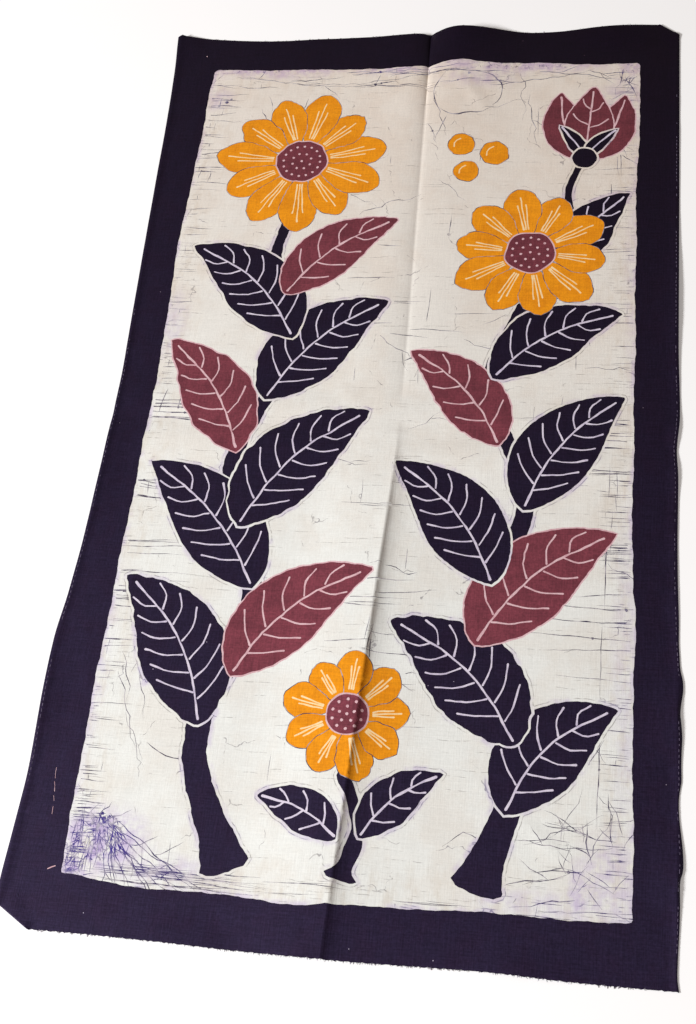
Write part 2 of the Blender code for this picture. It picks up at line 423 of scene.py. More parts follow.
    def small_relief(self, placed: ndarray) -> ndarray:
        """Height of the slight unevenness that pressed cotton keeps all over.

        Args:
            placed: points as they lie.

        Returns:
            A small height at each point, never under 0.
        """
        scale = 1.0 / self.relief_size
        values = [noise.fractal(Vector((x * scale, y * scale, 0.0)), 1.0, 2.1, 3) for x, y in placed]
        return self.relief * np.clip(0.5 + 0.5 * np.array(values), 0.0, 1.0)

    def hem_height(self, flat: ndarray) -> ndarray:
        """Height of the narrow turned hem along both long edges, rounded down at its fold.

        Args:
            flat: points of the plain cut rectangle.

        Returns:
            The added height at each point.
        """
        from_edge = self.half_width - np.abs(flat[:, 0])
        rise = smooth_step(from_edge, -0.8, 1.8)
        fall = 1.0 - smooth_step(from_edge, self.hem_width, self.hem_width + 1.6)
        return self.hem_lift * rise * fall

    def unlay(self, placed: ndarray) -> ndarray:
        """Find the points of the plain cut rectangle that are carried to given places.

        Args:
            placed: points as they lie.

        Returns:
            The same points on the rectangle.
        """
        flat = placed
        for _ in range(8):
            flat = flat + placed - self.lay(flat)
        return flat

    def turn_line(self, turn: CornerTurn) -> tuple[ndarray, ndarray]:
        """Find the line along which a corner is turned under.

        Args:
            turn: the corner.

        Returns:
            A point on the line and the outward way across it.
        """
        side = np.sign([turn.x, turn.y])
        outward = side * np.array([turn.off_side, turn.off_end])
        outward = outward / np.linalg.norm(outward)
        return np.array([turn.x - side[0] * turn.off_end, turn.y]), outward

    def turn_corners(self, placed: ndarray, middle: ndarray) -> tuple[ndarray, ndarray]:
        """Turn the corners under: what lies past a corner's line goes round and beneath.

        Args:
            placed: points as they lie with every corner still out flat.
            middle: height of the sheet's middle at those points.

        Returns:
            The new places and the new heights.
        """
        drop_all = 2.0 * self.turn_radius
        bend = math.pi * self.turn_radius
        for turn in self.turns:
            on_line, outward = self.turn_line(turn)
            past = (placed - on_line) @ outward
            mirrored = placed - 2.0 * past[:, None] * outward
            room = np.minimum(
                self.half_width - np.abs(mirrored[:, 0]),
                self.half_length - np.abs(mirrored[:, 1]),
            )
            over_flap = smooth_step(room, 0.0, self.turn_softness)
            lift = drop_all * np.where(past > 0.0, 1.0, over_flap)
            angle = np.clip(past / self.turn_radius, 0.0, np.pi)
            reach = self.turn_radius * np.sin(angle) - np.maximum(0.0, past - bend)
            drop = self.turn_radius * (1.0 - np.cos(angle))
            moved = np.where(past > 0.0, reach - past, 0.0)
            placed = placed + moved[:, None] * outward
            middle = middle + lift - drop
        return placed, middle

    def fold(self, flat: ndarray) -> ndarray:
        """Lay points of the flat cut cloth into the folded, resting cloth.

        Args:
            flat: points of the plain cut rectangle.

        Returns:
            The sheet's middle at each point, as (x, y, z) rows.
        """
        placed = self.lay(flat)
        middle = np.maximum(0.0, self.fold_height(placed) + self.small_relief(placed))
        middle *= 1.0 - self.roll_drop * self.rolled_share(flat)
        middle += self.hem_height(flat) + 0.5 * self.thickness
        placed, middle = self.turn_corners(placed, middle)
        return np.column_stack([placed, middle])


class Hand:
    """A steady hand with a wax pen, whose lines are never quite even."""

    def __init__(self, seed: int) -> None:
        """Start with one seed, so that each run draws alike."""
        self.random = np.random.default_rng(seed)

    def wobble(self, count: int, size: float, waves: float) -> ndarray:
        """Make a small smooth unevenness that meets itself at its two ends.

        Args:
            count: number of values.
            size: how large it gets.
            waves: about how many waves it has.

        Returns:
            One value for each point of a line.
        """
        turn = np.linspace(0.0, 2.0 * np.pi, count, endpoint=False)
        total = np.zeros(count)
        for share in (0.35, 0.7, 1.0, 1.6, 2.3):
            pitch = max(1, round(waves * share))
            strength = self.random.normal() * (1.0 / (1.0 + share))
            total += strength * np.sin(pitch * turn + self.random.uniform(0.0, 2.0 * np.pi))
        return size * total


def even_points(line: ndarray, pitch: float, closed: bool) -> ndarray:
    """Place points evenly along a line.

    Args:
        line: the line's own points.
        pitch: about how far apart the new ones are.
        closed: whether the line ends where it starts.

    Returns:
        The new points. A closed line doesn't repeat its first.
    """
    if closed:
        line = np.vstack([line, line[:1]])
    steps = np.linalg.norm(np.diff(line, axis=0), axis=1)
    far = np.concatenate([[0.0], np.cumsum(steps)])
    count = max(3 if closed else 2, round(far[-1] / pitch) + (0 if closed else 1))
    at = np.linspace(0.0, far[-1], count, endpoint=not closed)
    return np.column_stack([np.interp(at, far, places) for places in line.T])


def curve_through(points: Sequence[Sequence[float]], pitch: float) -> ndarray:
    """Draw one smooth curve through a few points.

    Args:
        points: the points it passes.
        pitch: about how far apart its own points are.

    Returns:
        Evenly spaced points of the curve.
    """
    fixed = np.array(points, dtype=float)
    steps = np.linalg.norm(np.diff(fixed, axis=0), axis=1)
    far = np.concatenate([[0.0], np.cumsum(steps)])
    at = np.linspace(0.0, far[-1], max(8, int(2.0 * far[-1] / pitch)))
    rows = np.column_stack([far, fixed])
    curve = np.column_stack([read_curve(rows, at, 1), read_curve(rows, at, 2)])
    return even_points(curve, pitch, False)


def normals_of(line: ndarray, closed: bool) -> ndarray:
    """Find the way to the left of a line at each of its points.

    Args:
        line: points in order.
        closed: whether the line ends where it starts.

    Returns:
        A unit vector for each point.
    """
    if closed:
        ahead = np.roll(line, -1, axis=0) - np.roll(line, 1, axis=0)
    else:
        ahead = np.gradient(line, axis=0)
    ahead /= np.maximum(np.linalg.norm(ahead, axis=1), 1e-9)[:, None]
    return np.column_stack([-ahead[:, 1], ahead[:, 0]])


def ribbon(line: ndarray, half_widths: ndarray, bulge: float = 1.0) -> ndarray:
    """Give a line its width, with round ends.

    Args:
        line: points in order.
        half_widths: half the width at each point.
        bulge: how far the ends stand out, against half a circle.

    Returns:
        The closed outline.
    """
    sideways = normals_of(line, False) * half_widths[:, None]
    ends = []
    for index, way in ((-1, 1.0), (0, -1.0)):
        out = way * np.array([sideways[index][1], -sideways[index][0]])
        left = way * sideways[index]
        angles = np.radians((45.0, 0.0, -45.0))
        cap = [line[index] + bulge * math.cos(a) * out + math.sin(a) * left for a in angles]
        ends.append(np.array(cap))
    return np.vstack([line + sideways, ends[0], (line - sideways)[::-1], ends[1]])


def grown(outline: ndarray, distance: float) -> ndarray:
    """Move a closed outline outwards.

    Args:
        outline: points in order, either way round.
        distance: how far it moves.

    Returns:
        The outline's points in their new places.
    """
    after = np.roll(outline, -1, axis=0)
    turning = (outline[:, 0] * after[:, 1] - after[:, 0] * outline[:, 1]).sum()
    return outline - math.copysign(distance, turning) * normals_of(outline, True)


def circle(centre: Sequence[float], radius: float, pitch: float) -> ndarray:
    """Draw a circle as a closed outline.

    Args:
        centre: its middle.
        radius: its radius.
        pitch: about how far apart its points are.

    Returns:
        The outline.
    """
    count = max(8, round(2.0 * math.pi * radius / pitch))
    turn = np.linspace(0.0, 2.0 * np.pi, count, endpoint=False)
    return np.array(centre) + radius * np.column_stack([np.cos(turn), np.sin(turn)])


@dataclass
class Patch:
    """One closed outline filled with one dye. Later patches lie over earlier ones."""

    dye: Dye
    outline: ndarray
    is_motif: bool = False
    stays_in_field: bool = False

    def has_hairline(self) -> bool:
        """Tell whether dye crept round the shape's rim in a fine line."""
        return self.is_motif and self.dye is Dye.INDIGO


@dataclass
class Drawing:
    """The patches drawn on the cloth, in the order in which they cover each other."""

    hand: Hand
    rims: dict[Dye, tuple[float, Dye]] = field(
        default_factory=lambda: {
            Dye.INDIGO: (2.1, Dye.CREAM),
            Dye.MAROON: (1.5, Dye.WAX_ON_MAROON),
            Dye.GOLD: (0.75, Dye.VEIN),
        }
    )
    edge_pitch: float = 3.5
    line_pitch: float = 5.0
    line_width: float = 1.9
    patches: list[Patch] = field(default_factory=list)

    def body(self, outline: ndarray, dye: Dye) -> None:
        """Fill a hand-drawn outline with a dye, inside the rim that its wax left.

        Args:
            outline: the planned outline.
            dye: what fills it.
        """
        outline = even_points(outline, self.edge_pitch, True)
        count = len(outline)
        sway = self.hand.wobble(count, 0.55, count / 9.0) + self.hand.wobble(count, 0.28, count / 3.0)
        outline = outline + sway[:, None] * normals_of(outline, True)
        rim, rim_dye = self.rims[dye]
        rim = rim + self.hand.wobble(count, 0.17 * rim, count / 8.0)
        outward = grown(outline, 1.0) - outline
        self.patches.append(Patch(rim_dye, outline + rim[:, None] * outward))
        self.patches.append(Patch(dye, outline, is_motif=True))

    def wax(self, points: Sequence[Sequence[float]], dye: Dye, width: float = 0.0) -> None:
        """Draw a wax line over a dye, beaded where the pen rested at its ends.

        Args:
            points: the places that the line passes.
            dye: the dye that it lies on.
            width: the line's width, or 0 for the usual one.
        """
        line = curve_through(points, self.line_pitch)
        count = len(line)
        half = 0.5 * (width or self.line_width)
        uneven = 1.0 + self.hand.wobble(count, 0.16, count / 4.0)
        share = np.linspace(0.0, 1.0, count)
        bead = 0.28 * np.exp(-share / 0.08) + 0.2 * np.exp(-(1.0 - share) / 0.08)
        sway = self.hand.wobble(count, 0.3, count / 5.0)
        line = line + sway[:, None] * normals_of(line, False)
        widths = half * np.clip(uneven, 0.62, 1.5) * (1.0 + bead)
        self.patches.append(Patch(WAX_LINE[dye], ribbon(line, widths)))

    def dot(self, centre: Sequence[float], radius: float, dye: Dye) -> None:
        """Let one drop of wax fall on a dye.

        Args:
            centre: where it falls.
            radius: how large it is.
            dye: the dye that it lies on.
        """
        outline = circle(centre, radius, 1.6)
        sway = self.hand.wobble(len(outline), 0.14 * radius, 2.0)
        outline = outline + sway[:, None] * normals_of(outline, True)
        self.patches.append(Patch(WAX_LINE[dye], outline))


@dataclass(frozen=True)
class Leaf:
    """A long leaf with a midrib and side veins drawn in wax."""

    root: Pair
    tip: Pair
    width: float
    bow: float
    dye: Dye = Dye.INDIGO
    veins: int = 6

    def axis(self, share: ndarray) -> ndarray:
        """Read the leaf's bowed middle line.

        Args:
            share: places from 0 at the root to 1 at the tip.

        Returns:
            The points there.
        """
        start, end = np.array(self.root), np.array(self.tip)
        side = np.array([start[1] - end[1], end[0] - start[0]]) / np.linalg.norm(end - start)
        control = 0.5 * (start + end) + 2.0 * self.bow * side
        t = np.asarray(share, dtype=float)[:, None]
        return (1.0 - t) ** 2 * start + 2.0 * t * (1.0 - t) * control + t**2 * end

    def half_width(self, share: ndarray) -> ndarray:
        """Read half the leaf's width, which is widest nearer its root."""
        return 0.5 * self.width * np.sin(np.pi * share**0.78) ** 0.86

    def outline(self) -> ndarray:
        """Work out the leaf's outline.

        Returns:
            The closed outline.
        """
        share = np.linspace(0.0, 1.0, 60)
        middle = self.axis(share)
        across = normals_of(middle, False) * self.half_width(share)[:, None]
        return np.vstack([middle + across, (middle - across)[-2:0:-1]])

    def side_vein(self, start: float, side: float) -> ndarray:
        """Plan one side vein, which leaves the midrib and bends towards the tip.

        Args:
            start: where on the midrib it starts, from 0 to 1.
            side: 1 for the left of the midrib, -1 for the right.

        Returns:
            Three points that the vein passes.
        """
        share = np.array([start, start + 0.05, start + 0.13])
        reach = np.array([0.06, 0.46, 0.8]) * side
        middle = self.axis(share)
        wide = self.half_width(np.minimum(share, 0.99))
        return middle + normals_of(middle, False) * (wide * reach)[:, None]

    def draw(self, drawing: Drawing) -> None:
        """Draw the leaf, then its veins over it.

        Args:
            drawing: what it is drawn in.
        """
        drawing.body(self.outline(), self.dye)
        drawing.wax(self.axis(np.array([0.03, 0.3, 0.6, 0.93])), self.dye)
        for index in range(self.veins):
            start = 0.1 + 0.68 * (index + 0.5) / self.veins
            for side in (1.0, -1.0):
                drawing.wax(self.side_vein(start + 0.02 * side, side), self.dye, 1.5)


@dataclass(frozen=True)
class Stem:
    """A stem that tapers along a smooth curve."""

    points: Rows
    thick: float = 15.0
    thin: float = 8.0
    foot: float = 0.0
    dye: Dye = Dye.INDIGO

    def draw(self, drawing: Drawing) -> None:
        """Draw the stem as a tapering ribbon that widens at its foot.

        Args:
            drawing: what it is drawn in.
        """
        line = curve_through(self.points, drawing.edge_pitch)
        share = np.linspace(0.0, 1.0, len(line))
        widths = self.thick + (self.thin - self.thick) * share + self.foot * np.exp(-share / 0.035)
        drawing.body(ribbon(line, 0.5 * widths, 0.3), self.dye)


@dataclass(frozen=True)
class Blossom:
    """An open flower: a ring of broad petals round a dotted heart."""

    centre: Pair
    radius: float
    petals: int
    heart: float
    turn: float = 0.0
    dye: Dye = Dye.GOLD
    heart_dye: Dye = Dye.MAROON

    def petal(self, angle: float, length: float) -> ndarray:
        """Work out one petal's closed outline, narrow at the heart and blunt outside.

        Args:
            angle: the way that it points, in radians.
            length: how far it reaches from the flower's centre.

        Returns:
            The outline.
        """
        share = np.linspace(0.0, 1.0, 24)
        widest = 1.02 * math.pi * 0.72 * length / self.petals
        half = widest * np.sin(np.pi * share**1.45) ** 0.62 + 2.0 * (1.0 - share)
        along = 0.72 * self.heart + share * (length - 0.72 * self.heart)
        out = np.array([math.cos(angle), math.sin(angle)])
        side = np.array([-out[1], out[0]])
        left = along[:, None] * out + half[:, None] * side
        right = along[:, None] * out - half[:, None] * side
        return np.array(self.centre) + np.vstack([left, right[-2:0:-1]])

    def draw(self, drawing: Drawing) -> None:
        """Draw the petals with three strokes each, then the heart with its rings of dots.

        Args:
            drawing: what it is drawn in.
        """
        centre = np.array(self.centre)
        for index in range(self.petals):
            angle = self.turn + 2.0 * math.pi * index / self.petals
            length = self.radius * (1.0 + 0.05 * math.sin(2.3 * index + self.radius))
            drawing.body(self.petal(angle, length), self.dye)
            for lean, reach in ((-0.075, 0.74), (0.0, 0.86), (0.075, 0.74)):
                way = np.array([math.cos(angle + lean), math.sin(angle + lean)])
                inner = centre + (self.heart + 5.0) * way
                drawing.wax([inner, centre + reach * length * way], self.dye, 1.4)
        drawing.body(circle(self.centre, self.heart, 2.6), self.heart_dye)
        for ring in (0.0, 0.38, 0.74):
            count = max(1, round(2.0 * math.pi * ring * self.heart / 8.5))
            for index in range(count):
                angle = self.turn + 2.0 * math.pi * (index + 0.5 * ring) / count
                way = np.array([math.cos(angle), math.sin(angle)])
                drawing.dot(centre + ring * self.heart * way, 1.5, self.heart_dye)


@dataclass(frozen=True)
class Bud:
    """A closed flower: three petals that stand in a cup."""

    root: Pair
    tip: Pair
    width: float
    dye: Dye = Dye.MAROON
    cup_dye: Dye = Dye.INDIGO

    def draw(self, drawing: Drawing) -> None:
        """Draw the outer petals, the middle one over them, and the cup last.

        Args:
            drawing: what it is drawn in.
        """
        start, end = np.array(self.root), np.array(self.tip)
        along = end - start
        side = np.array([-along[1], along[0]]) / np.linalg.norm(along)
        for way in (1.0, -1.0):
            spread = tuple(start + 0.9 * along + way * 0.4 * self.width * side)
            Leaf(self.root, spread, 0.56 * self.width, way * 0.1 * self.width, self.dye, 0).draw(drawing)
        Leaf(self.root, self.tip, 0.6 * self.width, 0.0, self.dye, 3).draw(drawing)
        for way in (1.0, -1.0):
            sepal = tuple(start + 0.42 * along + way * 0.36 * self.width * side)
            Leaf(self.root, sepal, 0.2 * self.width, way * -2.0, self.cup_dye, 0).draw(drawing)
        cup = circle(start - 0.01 * along, 0.15 * self.width, drawing.edge_pitch)
        drawing.body(cup, self.cup_dye)


@dataclass(frozen=True)
class Berry:
    """A round berry with one curved stroke of wax."""

    centre: Pair
    radius: float
    dye: Dye = Dye.GOLD

    def draw(self, drawing: Drawing) -> None:
        """Draw the berry and the stroke that rounds it.

        Args:
            drawing: what it is drawn in.
        """
        drawing.body(circle(self.centre, self.radius, drawing.edge_pitch), self.dye)
        angles = np.radians((100.0, 150.0, 200.0))
        arc = 0.58 * self.radius * np.column_stack([np.cos(angles), np.sin(angles)])
        drawing.wax(np.array(self.centre) + arc, self.dye, 1.4)


# A plain garden of common motifs, the lower ones first where they overlap
GARDEN = (
    Stem(
        ((-96, -462), (-140, -352), (-106, -214), (-148, -66), (-104, 84), (-136, 196), (-126, 262)),
        25,
        11,
        22,
    ),
    Stem(((128, -462), (156, -352), (112, -226), (152, -92), (108, 40), (138, 140)), 25, 12, 22),
    Stem(((128, 100), (196, 196), (180, 286), (196, 340)), 10, 7),
    Stem(((10, -464), (20, -418), (2, -372)), 15, 10, 14),
    Leaf((-140, -336), (-236, -188), 86, -18),
    Leaf((-116, -286), (10, -172), 78, 20, Dye.MAROON, 5),
    Leaf((-108, -196), (-234, -60), 84, -15),
    Leaf((-132, -130), (-10, 6), 84, 18),
    Leaf((-146, -46), (-238, 88), 74, -14, Dye.MAROON, 5),
    Leaf((-124, 16), (-4, 142), 84, 18),
    Leaf((-105, 94), (-232, 214), 80, -18),
    Leaf((-120, 150), (-4, 250), 66, 15, Dye.MAROON, 4),
    Leaf((148, -398), (245, -296), 76, 18, Dye.INDIGO, 5),
    Leaf((154, -336), (30, -222), 84, -18),
    Leaf((112, -242), (240, -122), 84, 18, Dye.MAROON, 5),
    Leaf((124, -180), (20, -52), 78, -16),
    Leaf((150, -100), (246, 30), 78, 16),
    Leaf((122, -30), (24, 80), 66, -14, Dye.MAROON, 4),
    Leaf((112, 50), (242, 130), 70, 16, Dye.INDIGO, 5),
    Leaf((178, 180), (247, 288), 56, 12, Dye.INDIGO, 4),
    Leaf((2, -432), (-76, -398), 40, -9, Dye.INDIGO, 3),
    Leaf((22, -428), (92, -366), 42, 9, Dye.INDIGO, 3),
    Bud((196, 338), (204, 440), 90),
    Blossom((-124, 334), 97, 11, 29, 0.2),
    Blossom((142, 208), 84, 10, 26, 0.5),
    Blossom((0, -318), 61, 9, 19, 0.1),
    Berry((66, 318), 14),
    Berry((96, 344), 16),
    Berry((58, 356), 15),
)


# Thin streaks where wax dripped on the border, each with its width
BORDER_MARKS = (
    (((-271.5, -386), (-270.8, -391), (-270.2, -396)), 0.28),
    (((-269.8, -399), (-269, -403), (-268.2, -408)), 0.36),
    (((-267.5, -412), (-267, -414.5), (-266.4, -417)), 0.25),
    (((-265.9, -422), (-265.5, -425.5), (-265.2, -429)), 0.32),
    (((-258, -478), (-254.5, -476.5), (-251, -475.2)), 0.8),
    (((-262.6, 501.2), (-262, 500.8), (-261.4, 500.2)), 0.6),
)


class CrackBand(NamedTuple):
    """A part of the field where the wax cracked, and how those cracks run."""

    x: Pair
    y: Pair
    heading: Pair
    length: Pair
    width: Pair
    count: int
    stroll: float = 5.0
    forks: float = 0.15


@dataclass(frozen=True)
class Crackle:
    """The cracks through which indigo crept while the wax was on."""

    field_outline: ndarray
    keep_out: tuple[ndarray, ...]
    step: float = 7.5
    sway: Pair = (24.0, 46.0)
    blot_chance: float = 0.3
    blot_over: float = 0.7
    blot_radius: Pair = (0.8, 1.7)
    fork_share: Pair = (0.25, 0.6)
    fork_most: float = 30.0
    fork_width: float = 0.85
    straight_stroll: float = 6.0
    straight_lean: Pair = (80.0, 98.0)
    strolling_lean: Pair = (30.0, 75.0)
    blots: tuple[Triple, ...] = (
        (-199, -297, 4), (-202.5, -293, 2.4), (-213, -431, 2.7), (-208.5, -427.5, 1.8),
        (-217.5, -436, 2.1), (-211, -440, 1.5), (229, 356, 2.2), (60, 461, 1.9), (-226, 424, 2.1),
        (-221, 428, 1.4),
    )
    loops: tuple[tuple[float, Rows], ...] = (
        (0.75, ((32, 463), (24, 448), (22, 424), (28, 410), (40, 402))),
        (1.3, ((34, 408), (44, 399), (60, 403), (76, 403), (90, 414))),
        (0.8, ((38, 398), (33, 386), (31, 374), (27, 362))),
        (0.9, ((90, 414), (99, 430), (97, 447), (86, 460), (68, 464))),
        (0.9, ((32, 463), (48, 467), (70, 463), (92, 466), (118, 462))),
        (0.6, ((118, 462), (126, 446), (121, 428), (128, 408), (124, 392))),
        (0.6, ((228, 446), (216, 452), (201, 464))),
        (0.65, ((252, 440), (236, 452), (230, 468))),
        (0.55, ((224, 420), (236, 431), (252, 440))),
        (0.7, ((-186, -356), (-170, -366), (-140, -371), (-112, -368))),
        (0.6, ((96, -430), (112, -418), (136, -424), (160, -412))),
    )
    bands: tuple[CrackBand, ...] = (
        # from the left edge, along the weft
        CrackBand((-250, -247), (-16, 14), (-1.5, 1.5), (50, 140), (0.8, 1.25), 8, 3, 0.5),
        CrackBand((-251, -247), (-112, -70), (-14, 2), (30, 95), (0.6, 0.95), 6, 4, 0.2),
        CrackBand((-251, -247), (-232, -150), (-2.5, 2.5), (20, 115), (0.45, 0.8), 16, 3, 0.05),
        CrackBand((-249, -246), (-470, -232), (-2.5, 2.5), (6, 40), (0.4, 0.65), 46, 2),
        CrackBand((-249, -246), (14, 300), (-3, 3), (5, 35), (0.35, 0.6), 40, 2),
        CrackBand((-251, -247), (300, 460), (-6, 5), (6, 50), (0.45, 0.9), 22, 5, 0.4),
        # from the right edge
        CrackBand((250, 255), (-60, 10), (178, 182), (30, 120), (0.6, 1.1), 12, 3, 0.3),
        CrackBand((250, 254), (60, 440), (178, 183), (5, 45), (0.35, 0.65), 44, 2),
        CrackBand((252, 257), (-470, -60), (178, 182), (5, 32), (0.4, 0.75), 74, 2, 0.05),
        CrackBand((252, 257), (-330, -130), (176, 184), (40, 110), (0.5, 0.8), 8, 3),
        # long straight ones in the near right part
        CrackBand((230, 233), (-128, -120), (-91, -89), (74, 80), (0.8, 0.9), 1, 1.5),
        CrackBand((228, 231), (-220, -212), (-92, -89), (60, 75), (0.5, 0.6), 1, 2.5),
        CrackBand((228, 231), (-330, -322), (-93, -90), (80, 100), (0.7, 0.9), 1, 2.5),
        CrackBand((-100, 240), (-400, 400), (88, 92), (10, 45), (0.4, 0.7), 18, 2),
        CrackBand((180, 235), (-330, -290), (-140, -120), (60, 110), (0.5, 0.9), 4, 9, 0.5),
        CrackBand((200, 255), (-482, -400), (150, 200), (20, 75), (0.4, 0.8), 14, 9, 0.5),
        # beside the long crease, and loose ones all over
        CrackBand((-30, 20), (-330, -50), (-4, 4), (30, 90), (0.4, 0.75), 16, 3),
        CrackBand((-60, 60), (90, 300), (-4, 4), (15, 60), (0.4, 0.7), 8, 4),
        CrackBand((-225, 235), (-440, 440), (-40, 40), (25, 95), (0.45, 0.85), 24, 18, 0.6),
        # the far end
        CrackBand((-230, 230), (440, 470), (-6, 6), (30, 130), (0.5, 0.95), 20, 9, 0.4),
        CrackBand((-200, 240), (380, 440), (-115, -65), (20, 80), (0.5, 0.9), 9, 16, 0.6),
        CrackBand((225, 240), (300, 440), (-96, -84), (40, 110), (0.5, 0.85), 4, 4, 0.3),
        CrackBand((215, 245), (345, 375), (0, 360), (12, 45), (0.5, 0.9), 8, 8, 0.4),
        # the crushed near corners
        CrackBand((-248, -240), (-484, -405), (-4, 6), (8, 34), (0.45, 0.8), 32, 6),
        CrackBand((-246, -215), (-484, -440), (82, 98), (10, 45), (0.45, 0.8), 20, 7),
        CrackBand((-220, -202), (-444, -426), (-45, -20), (60, 135), (0.5, 0.95), 9, 11, 0.6),
        CrackBand((-224, -200), (-446, -428), (-92, -48), (25, 62), (0.5, 0.95), 9, 14, 0.6),
        CrackBand((-247, -228), (-482, -436), (0, 180), (9, 26), (0.5, 0.95), 20, 26, 0.3),
        CrackBand((-235, -150), (-484, -470), (-3, 1), (60, 150), (0.4, 0.75), 12, 3),
        CrackBand((196, 258), (-482, -405), (55, 130), (14, 60), (0.4, 0.8), 16, 13, 0.5),
        CrackBand((228, 252), (452, 476), (-150, -60), (10, 34), (0.5, 0.9), 8, 14, 0.6),
        CrackBand((-222, -202), (-442, -424), (0, 360), (7, 17), (0.5, 1), 24, 26),
        CrackBand((-235, 235), (-484, -466), (-2.5, 2.5), (20, 80), (0.35, 0.65), 26, 2),
        CrackBand((-228, -188), (-345, -240), (-110, -70), (40, 95), (0.45, 0.75), 5, 18, 0.3),
    )

    def in_sight(self, line: ndarray) -> ndarray:
        """Tell which points of a crack lie in the field and under no motif.

        Args:
            line: the crack's middle line.

        Returns:
            True for each point that shows.
        """
        seen = inside(line, self.field_outline)
        for outline in self.keep_out:
            seen &= ~inside(line, outline)
        return seen

    def run(
        self, drawing: Drawing, start: ndarray, heading: float, length: float, width: float, stroll: float
    ) -> ndarray:
        """Let one crack run from a place.

        Args:
            drawing: what it is drawn in.
            start: where it starts.
            heading: which way it goes, in degrees.
            length: how long it gets.
            width: how wide it is at its widest.
            stroll: how far it sways from its heading, in degrees.

        Returns:
            The crack's middle line.
        """
        random = drawing.hand.random
        count = max(4, round(length / self.step) + 2)
        waves = 2.0 * np.pi * np.linspace(0.0, length, count) / random.uniform(*self.sway)
        phases = random.uniform(0.0, 2.0 * np.pi, 2)
        turns = np.sin(waves + phases[0]) + 0.6 * np.sin(2.3 * waves + phases[1])
        turns = stroll * (turns + np.cumsum(random.normal(0.0, 0.22, count)))
        angles = np.radians(heading + turns)
        steps = length / (count - 1) * np.column_stack([np.cos(angles), np.sin(angles)])
        line = start + np.cumsum(steps, axis=0) - steps[0]
        self.open_up(drawing, line, width)
        return line

    def open_up(self, drawing: Drawing, line: ndarray, width: float) -> None:
        """Draw one crack along its middle line, wherever it shows.

        Args:
            drawing: what it is drawn in.
            line: the crack's middle line.
            width: how wide it is at its widest.
        """
        count = len(line)
        share = np.linspace(0.0, 1.0, count)
        taper = np.minimum(1.0, 4.0 * share + 0.3) * np.minimum(1.0, 2.2 * (1.0 - share) + 0.12)
        half = 0.55 * width * taper * np.clip(1.0 + drawing.hand.random.normal(0.0, 0.25, count), 0.5, 1.7)
        across = normals_of(line, False) * half[:, None]
        seen = self.in_sight(line)
        seen[1:] |= seen[:-1].copy()
        ends = np.flatnonzero(np.diff(np.concatenate([[0], seen.astype(int), [0]])))
        for first, last in zip(ends[::2], ends[1::2]):
            if last - first > 2:
                part, side = line[first:last], across[first:last]
                outline = np.vstack([part + side, (part - side)[::-1]])
                drawing.patches.insert(0, Patch(Dye.VEIN, outline, stays_in_field=True))

    def spot(self, drawing: Drawing, centre: ndarray, radius: float) -> None:
        """Let a blot spread where a crack stood open.

        Args:
            drawing: what it is drawn in.
            centre: its middle.
            radius: how large it is.
        """
        outline = circle(centre, radius, 1.3)
        uneven = drawing.hand.random.uniform(-0.35, 0.35, len(outline)) * radius
        outline = outline + uneven[:, None] * normals_of(outline, True)
        if self.in_sight(outline).all():
            drawing.patches.insert(0, Patch(Dye.VEIN, outline, stays_in_field=True))

    def draw(self, drawing: Drawing) -> None:
        """Draw every band's cracks, with their forks and blots, under all that is drawn so far.

        Args:
            drawing: what they are drawn in.
        """
        random = drawing.hand.random
        for band in self.bands:
            for _ in range(band.count):
                start = np.array([random.uniform(*band.x), random.uniform(*band.y)])
                heading, length = random.uniform(*band.heading), random.uniform(*band.length)
                width = random.uniform(*band.width)
                line = self.run(drawing, start, heading, length, width, band.stroll)
                if width > self.blot_over and random.uniform() < self.blot_chance:
                    self.spot(drawing, line[len(line) // 3], random.uniform(*self.blot_radius))
                if random.uniform() < band.forks:
                    place = line[int(random.integers(1, len(line) - 1))]
                    straight = band.stroll < self.straight_stroll
                    lean = self.straight_lean if straight else self.strolling_lean
                    turned = heading + random.uniform(*lean) * random.choice([-1.0, 1.0])
                    reach = min(self.fork_most, length * random.uniform(*self.fork_share))
                    self.run(drawing, place, turned, reach, self.fork_width * width, band.stroll)
        for width, points in self.loops:
            line = curve_through(points, self.step)
            sway = drawing.hand.wobble(len(line), 1.3, len(line) / 3.0)
            self.open_up(drawing, line + sway[:, None] * normals_of(line, False), width)
        for x, y, radius in self.blots:
            self.spot(drawing, np.array([x, y]), radius)


